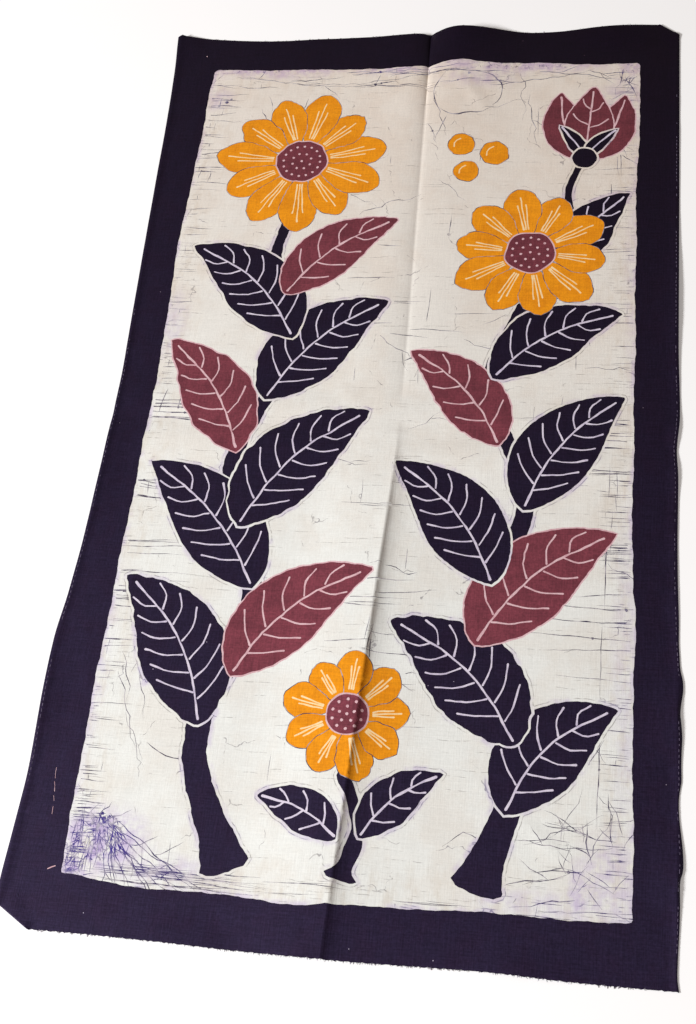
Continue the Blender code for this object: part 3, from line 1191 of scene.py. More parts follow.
@dataclass(frozen=True)
class FieldPlan:
    """The cream field inside the indigo border, with the hand-brushed edge of its wax."""

    left: Rows = (
        (-485, -245), (-430, -245.5), (-330, -247.4), (-150, -247), (70, -246), (220, -251.5),
        (370, -248.4), (430, -250), (473, -246.5),
    )
    right: Rows = (
        (-485, 260), (-330, 258), (-265, 257), (-236, 259.4), (-200, 259), (-178, 255.6), (-110, 254.4),
        (100, 254), (320, 253.2), (400, 255.8), (473, 254),
    )
    near: Rows = (
        (-249, -480), (-170, -487), (-75, -487.6), (-27, -490.6), (10, -487.4), (130, -483), (259, -482),
    )
    far: Rows = (
        (-249, 475), (-110, 472), (12, 473), (30, 478.5), (48, 482), (72, 479.5), (100, 477.6),
        (150, 478), (190, 475.2), (255, 474),
    )

    def outline(self, hand: Hand) -> ndarray:
        """Draw the field's edge, round from its near left corner.

        Args:
            hand: the hand that brushed the wax on.

        Returns:
            The closed outline.
        """
        up = np.linspace(-480.0, 472.0, 320)
        across = np.linspace(-244.0, 256.0, 168)
        near = np.column_stack([across, read_curve(self.near, across)])
        right = np.column_stack([read_curve(self.right, up), up])
        across = np.linspace(-244.0, 251.5, 168)
        far = np.column_stack([across, read_curve(self.far, across)])[::-1]
        left = np.column_stack([read_curve(self.left, up), up])[::-1]
        outline = even_points(np.vstack([near, right, far, left]), 2.8, True)
        count = len(outline)
        sway = hand.wobble(count, 0.42, count / 16.0) + hand.wobble(count, 0.3, count / 4.0)
        return outline + sway[:, None] * normals_of(outline, True)


def inside(points: ndarray, outline: ndarray) -> ndarray:
    """Tell which points lie in a closed outline, by how often it winds round them.

    Args:
        points: one (x, y) a row.
        outline: the outline's points in order.

    Returns:
        True for each point that lies inside.
    """
    found = np.zeros(len(points), dtype=bool)
    near = ((points >= outline.min(axis=0)) & (points <= outline.max(axis=0))).all(axis=1)
    start, end = outline, np.roll(outline, -1, axis=0)
    for chunk in np.array_split(np.flatnonzero(near), 1 + near.sum() // 4000):
        x, y = points[chunk, 0][:, None], points[chunk, 1][:, None]
        side = (end[:, 0] - start[:, 0]) * (y - start[:, 1]) - (x - start[:, 0]) * (end[:, 1] - start[:, 1])
        up = (start[:, 1] <= y) & (end[:, 1] > y) & (side > 0.0)
        down = (start[:, 1] > y) & (end[:, 1] <= y) & (side < 0.0)
        found[chunk] = up.sum(axis=1) != down.sum(axis=1)
    return found


def gaps_to(others: ndarray, points: ndarray) -> ndarray:
    """Measure how far each point is from the nearest of some others.

    Args:
        others: what is measured to.
        points: what is measured from.

    Returns:
        One distance for each point.
    """
    tree = KDTree(len(others))
    for index, (x, y) in enumerate(others):
        tree.insert((x, y, 0.0), index)
    tree.balance()
    return np.array([tree.find((x, y, 0.0))[2] for x, y in points])


def distances(points: ndarray, lines: Sequence[ndarray], most: float) -> ndarray:
    """Measure how far points are from the nearest of some closed outlines.

    Args:
        points: one (x, y) a row.
        lines: closed outlines.
        most: the longest distance that matters.

    Returns:
        The distance of each point, no more than most.
    """
    samples = np.vstack([even_points(line, 0.8, True) for line in lines])
    return np.minimum(most, gaps_to(samples, points))


class Threads:
    """Gathers the points and lines that the sheet's mesh has to follow."""

    def __init__(self) -> None:
        """Start with nothing gathered."""
        self.points: list[ndarray] = []
        self.edges: list[ndarray] = []
        self.count = 0

    def add(self, points: ndarray, closed: bool = False, line: bool = True) -> None:
        """Add points, joined into a line unless they only fix where the mesh has corners.

        Args:
            points: one (x, y) a row.
            closed: whether the line ends where it starts.
            line: whether the points are joined at all.
        """
        size = len(points)
        if line:
            order = np.arange(size if closed else size - 1)
            self.edges.append(self.count + np.column_stack([order, (order + 1) % size]))
        self.points.append(points)
        self.count += size


@dataclass
class BatikCloth:
    """The sheet of cotton itself, dyed patch by patch."""

    shape: ClothShape
    drawing: Drawing
    field_outline: ndarray
    mesh_pitch: float = 7.4
    row_pitch: float = 4.8
    near_pitch: float = 2.4
    edge_pitch: float = 4.6
    turn_pitch: float = 2.2
    merge: float = 0.02
    hem_rows: Triple = (0.9, 1.9, 3.1)
    crease_rows: tuple[float, ...] = (-8.0, -4.0, -1.5, 1.5, 3.5, 7.0)
    hairline_row: float = 4.0
    motif_reach: float = 20.0
    border_reach: float = 80.0
    stains: tuple[Spot, ...] = (
        Spot(-214, -449, 62, 42, 1), Spot(-236, -477, 30, 20, 1), Spot(-160, -470, 90, 18, 0.5),
        Spot(240, -450, 42, 60, 0.5), Spot(214, -462, 14, 40, 0.7), Spot(246, 468, 24, 18, 0.85),
        Spot(238, 410, 40, 60, 0.5), Spot(228.6, 355.8, 15, 12, 0.9), Spot(-212, -432, 15, 13, 1),
        Spot(-198, -297, 7, 6, 1), Spot(-238, 430, 26, 26, 0.5), Spot(70, 455, 60, 18, 0.5),
        Spot(-170, 471, 120, 15, 0.85), Spot(-30, 471, 70, 12, 0.75), Spot(120, 474, 150, 16, 0.85),
        Spot(256, 200, 18, 250, 0.35), Spot(258, -250, 28, 250, 0.32), Spot(-250, -300, 16, 190, 0.4),
        Spot(-238, 110, 22, 60, 0.35), Spot(180, -472, 80, 16, 0.4),
    )

    def guide_lines(self) -> Threads:
        """Gather every line that the mesh follows: edges, hems, creases, turns and dyes.

        Returns:
            The gathered points and edges.
        """
        shape = self.shape
        wide, long = shape.half_width, shape.half_length
        threads = Threads()
        corners = np.array([(-wide, -long), (wide, -long), (wide, long), (-wide, long), (-wide, -long)])
        near = even_points(corners[:2], self.near_pitch, False)
        others = even_points(corners[1:], self.edge_pitch, False)
        threads.add(np.vstack([near, others[1:-1]]), closed=True)
        up = np.arange(-long + 2.0, long - 1.0, self.row_pitch)
        for from_edge in (*self.hem_rows, shape.hem_width, shape.hem_width + 1.7):
            for side in (-1.0, 1.0):
                threads.add(np.column_stack([np.full_like(up, side * (wide - from_edge)), up]), line=False)
        crease = read_curve(shape.long_path, up)
        threads.add(np.column_stack([crease, up]))
        for off in self.crease_rows:
            threads.add(np.column_stack([crease + off, up]), line=False)
        across = np.arange(-wide + 2.0, wide - 1.0, self.row_pitch)
        threads.add(np.column_stack([across, read_curve(shape.cross_path, across)]))
        for turn in shape.turns:
            self.add_turn(threads, turn)
        threads.add(self.field_outline, closed=True)
        for patch in self.drawing.patches:
            threads.add(patch.outline, closed=True)
            if patch.has_hairline():
                threads.add(grown(patch.outline, self.hairline_row), line=False)
        return threads

    def add_turn(self, threads: Threads, turn: CornerTurn) -> None:
        """Add the lines round which a turned-under corner bends.

        Args:
            threads: where they are added.
            turn: the corner.
        """
        on_line, outward = self.shape.turn_line(turn)
        run = np.array([-outward[1], outward[0]])
        bend = math.pi * self.shape.turn_radius
        past = bend * np.array([-0.6, 0.0, 0.25, 0.5, 0.75, 1.0, 1.6])
        length = 1.3 * math.hypot(turn.off_end, turn.off_side)
        middle = on_line + 0.5 * (np.array([turn.x, turn.y - math.copysign(turn.off_side, turn.y)]) - on_line)
        along = np.arange(-0.5 * length, 0.5 * length, self.turn_pitch)
        size = np.array([self.shape.half_width, self.shape.half_length]) - 0.4
        for distance in past:
            line = self.shape.unlay(middle + distance * outward + along[:, None] * run)
            threads.add(line[(np.abs(line) < size).all(axis=1)], line=False)
        corner = np.array([turn.x, turn.y])
        for inward in (np.array([-np.sign(turn.x), 0.0]), np.array([0.0, -np.sign(turn.y)])):
            edge = corner + np.linspace(80.0, 0.0, 1601)[:, None] * inward
            reached = np.maximum.accumulate((self.shape.lay(edge) - on_line) @ outward)
            crossing = np.column_stack([np.interp(past, reached, places) for places in edge.T])
            threads.add(crossing[past < reached[-1]], line=False)

    def loose_points(self, taken: ndarray) -> ndarray:
        """Spread points over the cloth, clear of those that lines have already taken.

        Args:
            taken: points that are already in the mesh.

        Returns:
            The added points.
        """
        random = np.random.default_rng(11)
        wide, long = self.shape.half_width, self.shape.half_length
        row_gap = self.mesh_pitch * math.sqrt(0.75)
        points = []
        for row, y in enumerate(np.arange(-long + 2.5, long - 1.0, row_gap)):
            x = np.arange(-wide + 2.5 + (row % 2) * 0.5 * self.mesh_pitch, wide - 1.0, self.mesh_pitch)
            points.append(np.column_stack([x, np.full_like(x, y)]))
        spread = np.vstack(points)
        spread += random.uniform(-0.3, 0.3, spread.shape)
        return spread[gaps_to(taken, spread) > 0.5 * self.mesh_pitch]

    def triangulate(self) -> tuple[ndarray, ndarray]:
        """Divide the flat cut cloth into triangles that follow every line.

        Returns:
            The flat points and the triangles' corners.
        """
        threads = self.guide_lines()
        taken = np.vstack(threads.points)
        points = np.vstack([taken, self.loose_points(taken)])
        limit = np.array([self.shape.half_width, self.shape.half_length])
        points = np.clip(points, -limit, limit)
        edges = [tuple(int(i) for i in edge) for edge in np.vstack(threads.edges)]
        found = delaunay_2d_cdt([Vector(p) for p in points], edges, [], 0, self.merge)
        flat = np.array([tuple(v) for v in found[0]])
        faces = np.array([tuple(face) for face in found[2]])
        a, b, c = (flat[faces[:, i]] for i in range(3))
        turning = (b[:, 0] - a[:, 0]) * (c[:, 1] - a[:, 1]) - (c[:, 0] - a[:, 0]) * (b[:, 1] - a[:, 1])
        faces[turning < 0.0] = faces[turning < 0.0][:, ::-1]
        return flat, faces[np.abs(turning) > 1e-5]

    def dye_faces(self, middles: ndarray) -> ndarray:
        """Dye the faces patch by patch, the last that holds a face winning.

        Args:
            middles: the middle of each face of the flat cloth.

        Returns:
            The place of each face's finish.
        """
        dyes = np.full(len(middles), Dye.INDIGO.value)
        in_field = inside(middles, self.field_outline)
        dyes[in_field] = Dye.CREAM.value
        for patch in self.drawing.patches:
            found = inside(middles, patch.outline)
            dyes[found & in_field if patch.stays_in_field else found] = patch.dye.value
        return dyes

    def stain_at(self, flat: ndarray) -> ndarray:
        """Work out how much dye crept under the wax at each point.

        Args:
            flat: points of the flat cloth.

        Returns:
            A share from 0 to 1.
        """
        total = np.zeros(len(flat))
        for stain in self.stains:
            clear = smooth_step(stain.away(*flat.T), 0.25, 1.0)
            total = np.maximum(total, stain.strength * (1.0 - clear))
        return total

    def add_values(self, mesh: Mesh, name: str, values: ndarray) -> None:
        """Keep one number for each point of the mesh, for the finishes to read."""
        layer = mesh.attributes.new(name, "FLOAT", "POINT")
        layer.data.foreach_set("value", values.astype(np.float32))

    def build(self) -> Object:
        """Make the sheet, fold it and give it its thickness.

        Returns:
            The finished cloth, each face holding the place of its dye's finish.
        """
        flat, faces = self.triangulate()
        mesh = bpy.data.meshes.new("batik_sheet")
        mesh.from_pydata((self.shape.fold(flat) * MM).tolist(), [], faces.tolist())
        mesh.polygons.foreach_set("material_index", self.dye_faces(flat[faces].mean(axis=1)))
        edges = [patch.outline for patch in self.drawing.patches if patch.has_hairline()]
        self.add_values(mesh, "motif_gap", distances(flat, edges, self.motif_reach))
        border_gap = distances(flat, [self.field_outline], self.border_reach)
        self.add_values(mesh, "border_gap", border_gap)
        self.add_values(mesh, "stain", self.stain_at(flat))
        corners = np.empty(len(mesh.loops), dtype=np.int32)
        mesh.loops.foreach_get("vertex_index", corners)
        flat_map = mesh.uv_layers.new(name=FLAT_MAP)
        flat_map.data.foreach_set("uv", (flat[corners] * MM).astype(np.float32).ravel())
        mesh.validate()
        cloth = bpy.data.objects.new("batik_sheet", mesh)
        bpy.context.scene.collection.objects.link(cloth)
        wall = cloth.modifiers.new("thickness", "SOLIDIFY")
        wall.thickness = self.shape.thickness * MM
        wall.offset = 0.0
        pick(cloth)
        bpy.ops.object.modifier_apply(modifier=wall.name)
        bpy.ops.object.shade_smooth_by_angle(angle=math.radians(50.0))
        return cloth


def pick(*things: Object) -> None:
    """Select only these objects, and make the first one active.

    Args:
        things: the objects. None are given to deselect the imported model, which is left selected.
    """
    for other in bpy.context.view_layer.objects:
        other.select_set(False)
    for thing in things:
        thing.select_set(True)
    if things:
        bpy.context.view_layer.objects.active = things[0]


def linear(hex_colour: str) -> tuple[float, float, float, float]:
    """Turn an sRGB hex colour into the linear colour that a shader takes.

    Args:
        hex_colour: the colour, after a hash sign.

    Returns:
        Red, green, blue and a full alpha.
    """
    parts = [int(hex_colour[i : i + 2], 16) / 255.0 for i in (1, 3, 5)]
    red, green, blue = (p / 12.92 if p <= 0.04045 else ((p + 0.055) / 1.055) ** 2.4 for p in parts)
    return red, green, blue, 1.0


Add = Callable[..., Node]


def add_node(
    tree: NodeTree, kind: str, inputs: dict[str | int, Any] | None = None, **settings: Any
) -> Node:
    """Add one node to a finish, with its settings and its links.

    Args:
        tree: the finish's nodes.
        kind: the node's type, without its usual first part.
        inputs: what each input holds: a value, a socket, or a node that gives its first output.
        settings: the node's own choices.

    Returns:
        The node.
    """
    node = tree.nodes.new("ShaderNode" + kind)
    for name, value in settings.items():
        setattr(node, name, value)
    for name, value in (inputs or {}).items():
        if isinstance(value, Node):
            value = value.outputs[0]
        if isinstance(value, NodeSocket):
            tree.links.new(value, node.inputs[name])
        else:
            node.inputs[name].default_value = value
    return node


def empty_material(name: str) -> Material:
    """Start a material that has no nodes yet.

    Args:
        name: what it is made of.

    Returns:
        The material.
    """
    material = bpy.data.materials.new(name)
    material.use_nodes = True
    material.node_tree.nodes.clear()
    return material


@dataclass(frozen=True)
class CottonFinish:
    """Plain-weave cotton, dyed in the piece and pressed.

    It is matt, with a faint bloom where fibres stand up. Thick and thin yarns show as fine
    streaks both ways, and the vat leaves each dye a little cloudy. The yarns are raised at
    their real pitch. That is too fine to show from where the camera stands, so the thick
    places in them are drawn about two yarns wide, and the specks of dye about four.
    """

    name: str
    colour: str
    cloud: str
    cloud_share: float = 0.6
    cloud_size: float = 55.0
    streak: float = 0.06
    grain: float = 0.03
    roughness: float = 0.86
    sheen: float = 0.06
    specular: float = 0.25
    gloss_tint: Triple = (1.0, 1.0, 1.0)
    grain_size: float = 2.4
    yarn_pitch: float = 0.55
    slub_length: float = 26.0
    slub_width: float = 1.2
    # The next three set painted shade: the colour darkens towards the far right end, standing in for the
    # lamp's light and gloss falling off across the cloth
    far_painted_shade: Triple = (1.0, 1.0, 1.0)
    far_lean: float = 0.25
    far_range: Pair = (0.0, 450.0)

    def dyed(self, add: Add, place: Node) -> Node:
        """Mix the dye with its clouds.

        Args:
            add: adds a node to the finish.
            place: the place on the flat cloth.

        Returns:
            The colour before streaks.
        """
        soft = {"Vector": place, "Scale": 1.0 / self.cloud_size, "Detail": 5.0, "Roughness": 0.68}
        clouds = add("TexNoise", soft, noise_dimensions="2D")
        limits = {"From Min": 0.38, "From Max": 0.68, "To Max": self.cloud_share}
        share = add("MapRange", {"Value": clouds, **limits}, interpolation_type="SMOOTHSTEP")
        colours = {"Color1": linear(self.colour), "Color2": linear(self.cloud)}
        return add("MixRGB", {"Fac": share, **colours})

    def marked(self, add: Add, place: Node, colour: Node) -> Node:
        """Leave the colour as it is. Finishes with marks of their own add them here."""
        return colour

    def painted_light_falloff(self, add: Add, place: Node, colour: Node) -> Node:
        """Darken the colour towards the far right end. This is painted shade there, with painted sheen at the
        near left end, standing in for the lamp's light and gloss falling off across the cloth.

        Args:
            add: adds a node to the finish.
            place: the place on the flat cloth.
            colour: the colour of the near left end.

        Returns:
            The colour at each place.
        """
        lean = (self.far_lean, 1.0, 0.0)
        along = add("VectorMath", {0: place, 1: lean}, operation="DOT_PRODUCT")
        start, end = self.far_range
        share = add("MapRange", {"Value": along.outputs["Value"], "From Min": start, "From Max": end})
        colours = {"Color1": (1.0, 1.0, 1.0, 1.0), "Color2": (*self.far_painted_shade, 1.0)}
        tint = add("MixRGB", {"Fac": share, **colours})
        return add("VectorMath", {0: colour, 1: tint}, operation="MULTIPLY")

    def woven_relief(self, add: Add, place: Node, slubs: Node) -> Node:
        """Raise the yarns: an even weave, and the thick and thin places in it.

        Args:
            add: adds a node to the finish.
            place: the place on the flat cloth.
            slubs: the uneven yarns of both ways.

        Returns:
            The bumped normal.
        """
        turned = add("VectorMath", {0: place, "Scale": math.pi / self.yarn_pitch}, operation="SCALE")
        waves = add("SeparateXYZ", {0: add("VectorMath", {0: turned}, operation="SINE")})
        weave = add("Math", {0: waves.outputs["X"], 1: waves.outputs["Y"]}, operation="MULTIPLY")
        height = add("Math", {0: weave, 1: 0.35, 2: slubs}, operation="MULTIPLY_ADD")
        return add("Bump", {"Height": height, "Strength": 0.35, "Distance": 0.25 * MM})

    def make(self) -> Material:
        """Put the finish together.

        Returns:
            The material.
        """
        material = empty_material(self.name)
        add = partial(add_node, material.node_tree)
        place = add("VectorMath", {0: add("UVMap", uv_map=FLAT_MAP), "Scale": 1.0 / MM}, operation="SCALE")
        yarns = []
        for size in ((self.slub_length, self.slub_width), (self.slub_width, self.slub_length)):
            per_size = (1.0 / size[0], 1.0 / size[1], 1.0)
            stretched = add("VectorMath", {0: place, 1: per_size}, operation="MULTIPLY")
            uneven = {"Vector": stretched, "Scale": 1.0, "Detail": 2.0, "Roughness": 0.6}
            yarns.append(add("TexNoise", uneven, noise_dimensions="2D"))
        slubs = add("Math", dict(enumerate(yarns)), operation="ADD")
        mottled = {"Vector": place, "Scale": 1.0 / self.grain_size, "Detail": 2.0, "Roughness": 0.7}
        specks = add("TexNoise", mottled, noise_dimensions="2D")
        tones = []
        for value, start, end, swing in ((slubs, 0.7, 1.3, self.streak), (specks, 0.3, 0.7, self.grain)):
            limits = {"From Min": start, "From Max": end, "To Min": 1.0 - swing, "To Max": 1.0 + swing}
            tones.append(add("MapRange", {"Value": value, **limits}))
        tone = add("Math", dict(enumerate(tones)), operation="MULTIPLY")
        # The colour gets painted shade towards the far right end, for light and gloss that fall off away from
        # the lamp
        colour = self.painted_light_falloff(add, place, self.marked(add, place, self.dyed(add, place)))
        shaded = add("VectorMath", {0: colour, "Scale": tone}, operation="SCALE")
        surface = {
            "Base Color": shaded,
            "Normal": self.woven_relief(add, place, slubs),
            "Roughness": self.roughness,
            "Sheen Weight": self.sheen,
            "Specular IOR Level": self.specular,
            "Specular Tint": (*self.gloss_tint, 1.0),
        }
        add("OutputMaterial", {"Surface": add("BsdfPrincipled", surface)})
        return material


@dataclass(frozen=True)
class WaxedCream(CottonFinish):
    """The undyed cotton that wax kept clear, and the dye that found its way in.

    Where the wax cracked, indigo ran in as fine veins: long ones along the weft, a loose web,
    and dense nets where the cloth was crushed. Near the dyed parts it left a lilac wash.
    """

    wash: str = "#c8b6da"
    vein: str = "#4a3c7c"
    old_vein: str = "#77706c"
    stale: str = "#d8cdbb"

    def bent(self, add: Add, place: Node, size: float, push: float) -> Node:
        """Push places about, so that what is drawn on them wanders.

        Args:
            add: adds a node to the finish.
            place: the true places.
            size: how far apart the pushes differ.
            push: how far they go.

        Returns:
            The pushed places.
        """
        soft = {"Vector": place, "Scale": 1.0 / size, "Detail": 3.0, "Roughness": 0.6}
        clouds = add("TexNoise", soft, noise_dimensions="2D")
        about_middle = {0: clouds.outputs["Color"], 1: (0.5, 0.5, 0.5)}
        centred = add("VectorMath", about_middle, operation="SUBTRACT")
        return add("VectorMath", {0: centred, 1: (push, push, 0.0), 2: place}, operation="MULTIPLY_ADD")

    def shown(self, add: Add, mark: Any, *places: tuple[Any, float, float, float]) -> Node:
        """Let a mark show only in some places.

        Args:
            add: adds a node to the finish.
            mark: how dark the mark is by itself.
            places: values, each with where it starts to count, where it counts in full and how much.

        Returns:
            How dark the mark is at each point.
        """
        for value, start, end, most in places:
            limits = {"From Min": start, "From Max": end, "To Max": most}
            share = add("MapRange", {"Value": value, **limits}, interpolation_type="SMOOTHSTEP")
            mark = add("Math", {0: mark, 1: share}, operation="MULTIPLY")
        return mark

    def darkest(self, add: Add, *marks: Node) -> Node:
        """Lay marks over each other, so that the darkest one shows at each point."""
        over = partial(add, "Math", operation="MAXIMUM")
        return reduce(lambda one, other: over({0: one, 1: other}), marks)

    def weft_veins(self, add: Add, place: Node, length: float, gap: float, width: float) -> Node:
        """Draw short straight cracks that follow the weft, one in each long cell of a grid.

        Args:
            add: adds a node to the finish.
            place: the place on the flat cloth.
            length: the longest crack.
            gap: how far apart their rows are.
            width: how wide a crack is.

        Returns:
            How dark they are at each point.
        """
        per_cell = (1.0 / length, 1.0 / gap, 0.0)
        wandering = self.bent(add, place, 45.0, 6.0)
        parts = add("SeparateXYZ", {0: add("VectorMath", {0: wandering, 1: per_cell}, operation="MULTIPLY")})
        row = add("Math", {0: parts.outputs["Y"]}, operation="FLOOR")
        shift = add("TexWhiteNoise", {"W": row}, noise_dimensions="1D")
        along = add("Math", {0: parts.outputs["X"], 1: shift}, operation="ADD")
        column = add("Math", {0: along}, operation="FLOOR")
        cell = add("CombineXYZ", {"X": column, "Y": row})
        chance = add("TexWhiteNoise", {"Vector": cell}, noise_dimensions="2D")
        rolls = add("SeparateColor", {0: chance.outputs["Color"]})
        up = add("Math", {0: parts.outputs["Y"]}, operation="FRACT")
        off = add("Math", {0: up, 1: rolls.outputs["Red"]}, operation="SUBTRACT")
        off = add("Math", {0: off}, operation="ABSOLUTE")
        across = add("Math", {0: along}, operation="FRACT")
        from_start = add("Math", {0: across, 1: rolls.outputs["Green"]}, operation="SUBTRACT")
        line = (off, 0.7 * width / gap, 0.25 * width / gap, 1.0)
        return self.shown(add, 1.0, line, (from_start, 0.0, 0.1, 1.0), (across, 1.0, 0.9, 1.0))

    def web_veins(self, add: Add, place: Node, size: float, width: float) -> Node:
        """Draw a web of cracks.

        Args:
            add: adds a node to the finish.
            place: the place on the flat cloth.
            size: how wide the web's meshes are.
            width: how wide a crack is.

        Returns:
            How dark the cracks are at each point.
        """
        meshes = {"Vector": self.bent(add, place, 0.6 * size, 0.55 * size), "Scale": 1.0 / size}
        web = add("TexVoronoi", meshes, voronoi_dimensions="2D", feature="DISTANCE_TO_EDGE")
        return self.shown(add, 1.0, (web, 0.75 * width / size, 0.35 * width / size, 1.0))

    def marked(self, add: Add, place: Node, colour: Node) -> Node:
        """Let the indigo in: washes first, then the veins over them.

        Args:
            add: adds a node to the finish.
            place: the place on the flat cloth.
            colour: the clean cotton's colour.

        Returns:
            The marked colour.
        """
        shown = partial(self.shown, add)
        weft_veins = partial(self.weft_veins, add)
        names = ("border_gap", "motif_gap", "stain")
        border, motif, stain = (add("Attribute", attribute_name=name).outputs["Fac"] for name in names)
        parts = add("SeparateXYZ", {0: place})
        quarter_turn = add("CombineXYZ", {"X": parts.outputs["Y"], "Y": parts.outputs["X"]})
        long_way = add("VectorMath", {0: place, 1: (1.0, 0.45, 1.0)}, operation="MULTIPLY")
        clouds = []
        for at, size, detail in (
            (place, 30.0, 3.0),
            (place, 7.0, 3.0),
            (place, 13.0, 4.0),
            (place, 48.0, 2.0),
            (long_way, 11.0, 5.0),
        ):
            soft = {"Vector": at, "Scale": 1.0 / size, "Detail": detail, "Roughness": 0.6}
            clouds.append(add("TexNoise", soft, noise_dimensions="2D"))
        patches, specks, pools, breaks, warm = clouds

        by_border, by_motif = shown(1.0, (border, 6.0, 0.3, 0.55)), shown(1.0, (motif, 6.0, 1.0, 0.5))
        patchy = shown(self.darkest(add, by_border, by_motif), (patches, 0.42, 0.66, 1.0))
        wash = self.darkest(add, patchy, shown(stain, (pools, 0.26, 0.7, 1.0)))

        nets = self.darkest(
            add,
            weft_veins(place, 19.0, 3.2, 0.7),
            weft_veins(quarter_turn, 17.0, 3.8, 0.65),
            self.web_veins(add, place, 7.5, 1.0),
        )
        crushed = add("Math", {0: stain, 1: specks}, operation="ADD")
        veins = self.darkest(
            add,
            shown(self.web_veins(add, place, 60.0, 0.8), (patches, 0.52, 0.6, 0.7)),
            shown(nets, (crushed, 1.3, 1.5, 0.9)),
            shown(weft_veins(place, 34.0, 4.2, 0.7), (border, 46.0, 8.0, 0.75), (patches, 0.4, 0.6, 1.0)),
            shown(weft_veins(place, 70.0, 13.0, 0.7), (patches, 0.55, 0.44, 0.55)),
            shown(1.0, (motif, 3.6, 2.9, 1.0), (motif, 2.1, 2.8, 1.0), (breaks, 0.42, 0.5, 0.75)),
        )
        veins = shown(veins, (specks, 0.3, 0.62, 0.85))

        aged = shown(1.0, (border, 55.0, 5.0, 0.4), (warm, 0.45, 0.7, 1.0))
        clean = add("Math", {0: wash, 1: patches}, operation="ADD")
        inks = {"Color1": linear(self.vein), "Color2": linear(self.old_vein)}
        ink = add("MixRGB", {"Fac": shown(1.0, (clean, 0.95, 0.5, 1.0)), **inks})
        for share, tint in ((aged, linear(self.stale)), (wash, linear(self.wash)), (veins, ink)):
            colour = add("MixRGB", {"Fac": share, "Color1": colour, "Color2": tint})
        return colour


@dataclass(frozen=True)
class CrackVein(CottonFinish):
    """Cotton under a crack in the wax: indigo ran in, more in some places than in others.

    It is blue-black where the crack stood open, purple where dye pooled, and pale between.
    """

    pooled: str = "#45378a"
    missed: str = "#cfc8cc"
    gap_size: float = 11.0

    def marked(self, add: Add, place: Node, colour: Node) -> Node:
        """Turn the line purple in stained places, and let it fade here and there.

        Args:
            add: adds a node to the finish.
            place: the place on the flat cloth.
            colour: the dyed colour.

        Returns:
            The colour along the crack.
        """
        stain = add("Attribute", attribute_name="stain").outputs["Fac"]
        soft = {"Vector": place, "Scale": 1.0 / self.gap_size, "Detail": 3.0, "Roughness": 0.6}
        gaps = add("TexNoise", soft, noise_dimensions="2D")
        limits = {"From Min": 0.38, "From Max": 0.72, "To Max": 0.8}
        faded = add("MapRange", {"Value": gaps, **limits}, interpolation_type="SMOOTHSTEP")
        for share, tint in ((stain, self.pooled), (faded, self.missed)):
            colour = add("MixRGB", {"Fac": share, "Color1": colour, "Color2": linear(tint)})
        return colour


@dataclass(frozen=True)
class VatIndigo(CottonFinish):
    """Cotton dipped many times in a dark vat: nearly black, with redder and bluer clouds.

    A few flecks stayed white where dust or a drop of wax lay on the cloth.
    """

    fleck: str = "#cfc6d8"
    fleck_pitch: float = 24.0
    fleck_radii: Pair = (0.55, 0.25)
    fleck_chance: float = 0.035

    def marked(self, add: Add, place: Node, colour: Node) -> Node:
        """Scatter the white flecks.

        Args:
            add: adds a node to the finish.
            place: the place on the flat cloth.
            colour: the dyed colour.

        Returns:
            The colour with flecks.
        """
        spread = {"Vector": place, "Scale": 1.0 / self.fleck_pitch}
        cells = add("TexVoronoi", spread, voronoi_dimensions="2D", feature="F1")
        outer, inner = (radius / self.fleck_pitch for radius in self.fleck_radii)
        spot = add("MapRange", {"Value": cells, "From Min": outer, "From Max": inner})
        chance = add("SeparateColor", {0: cells.outputs["Color"]})
        chosen = add("Math", {0: chance, 1: 1.0 - self.fleck_chance}, operation="GREATER_THAN")
        share = add("Math", {0: spot, 1: chosen}, operation="MULTIPLY")
        return add("MixRGB", {"Fac": share, "Color1": colour, "Color2": linear(self.fleck)})


FINISHES = {
    # The far tints of indigo, cream and maroon are painted shade towards the far right end; the indigo's own
    # colour is lightened with painted sheen for the near left end
    Dye.INDIGO: VatIndigo(
        "vat_indigo_cotton", "#292239", "#2b1f35", cloud_size=26.0, streak=0.26, grain=0.2,
        roughness=0.55, sheen=0.02, specular=0.2, gloss_tint=(0.72, 0.55, 1.0),
        far_painted_shade=(0.17, 0.08, 0.11), far_lean=0.48, far_range=(-700.0, 661.0),
    ),
    Dye.CREAM: WaxedCream(
        "waxed_cream_cotton", "#f1f2eb", "#e9e4d9", cloud_size=70.0, streak=0.04,
        far_painted_shade=(0.96, 0.86, 0.8), far_range=(-180.0, 450.0),
    ),
    Dye.MAROON: CottonFinish(
        "maroon_dyed_cotton", "#823d49", "#69303b", cloud_size=24.0, streak=0.16, grain=0.16,
        sheen=0.03, far_painted_shade=(0.8, 0.75, 0.72), far_range=(-300.0, 450.0),
    ),
    Dye.GOLD: CottonFinish(
        "golden_dyed_cotton", "#f59b0c", "#e08605", cloud_size=22.0, streak=0.1, grain=0.08, sheen=0.03
    ),
    Dye.WAX_ON_INDIGO: CottonFinish("wax_line_on_indigo", "#e4dbe8", "#b9abc8", cloud_size=9.0),
    Dye.WAX_ON_MAROON: CottonFinish("wax_line_on_maroon", "#e6c3c6", "#c98f98", cloud_size=9.0),
    Dye.WAX_ON_GOLD: CottonFinish("wax_line_on_gold", "#ffe3b0", "#ffce84", cloud_size=9.0),
    Dye.VEIN: CrackVein("indigo_crack_in_wax", "#2e2648", "#5c5361", 0.8, 38.0),
}


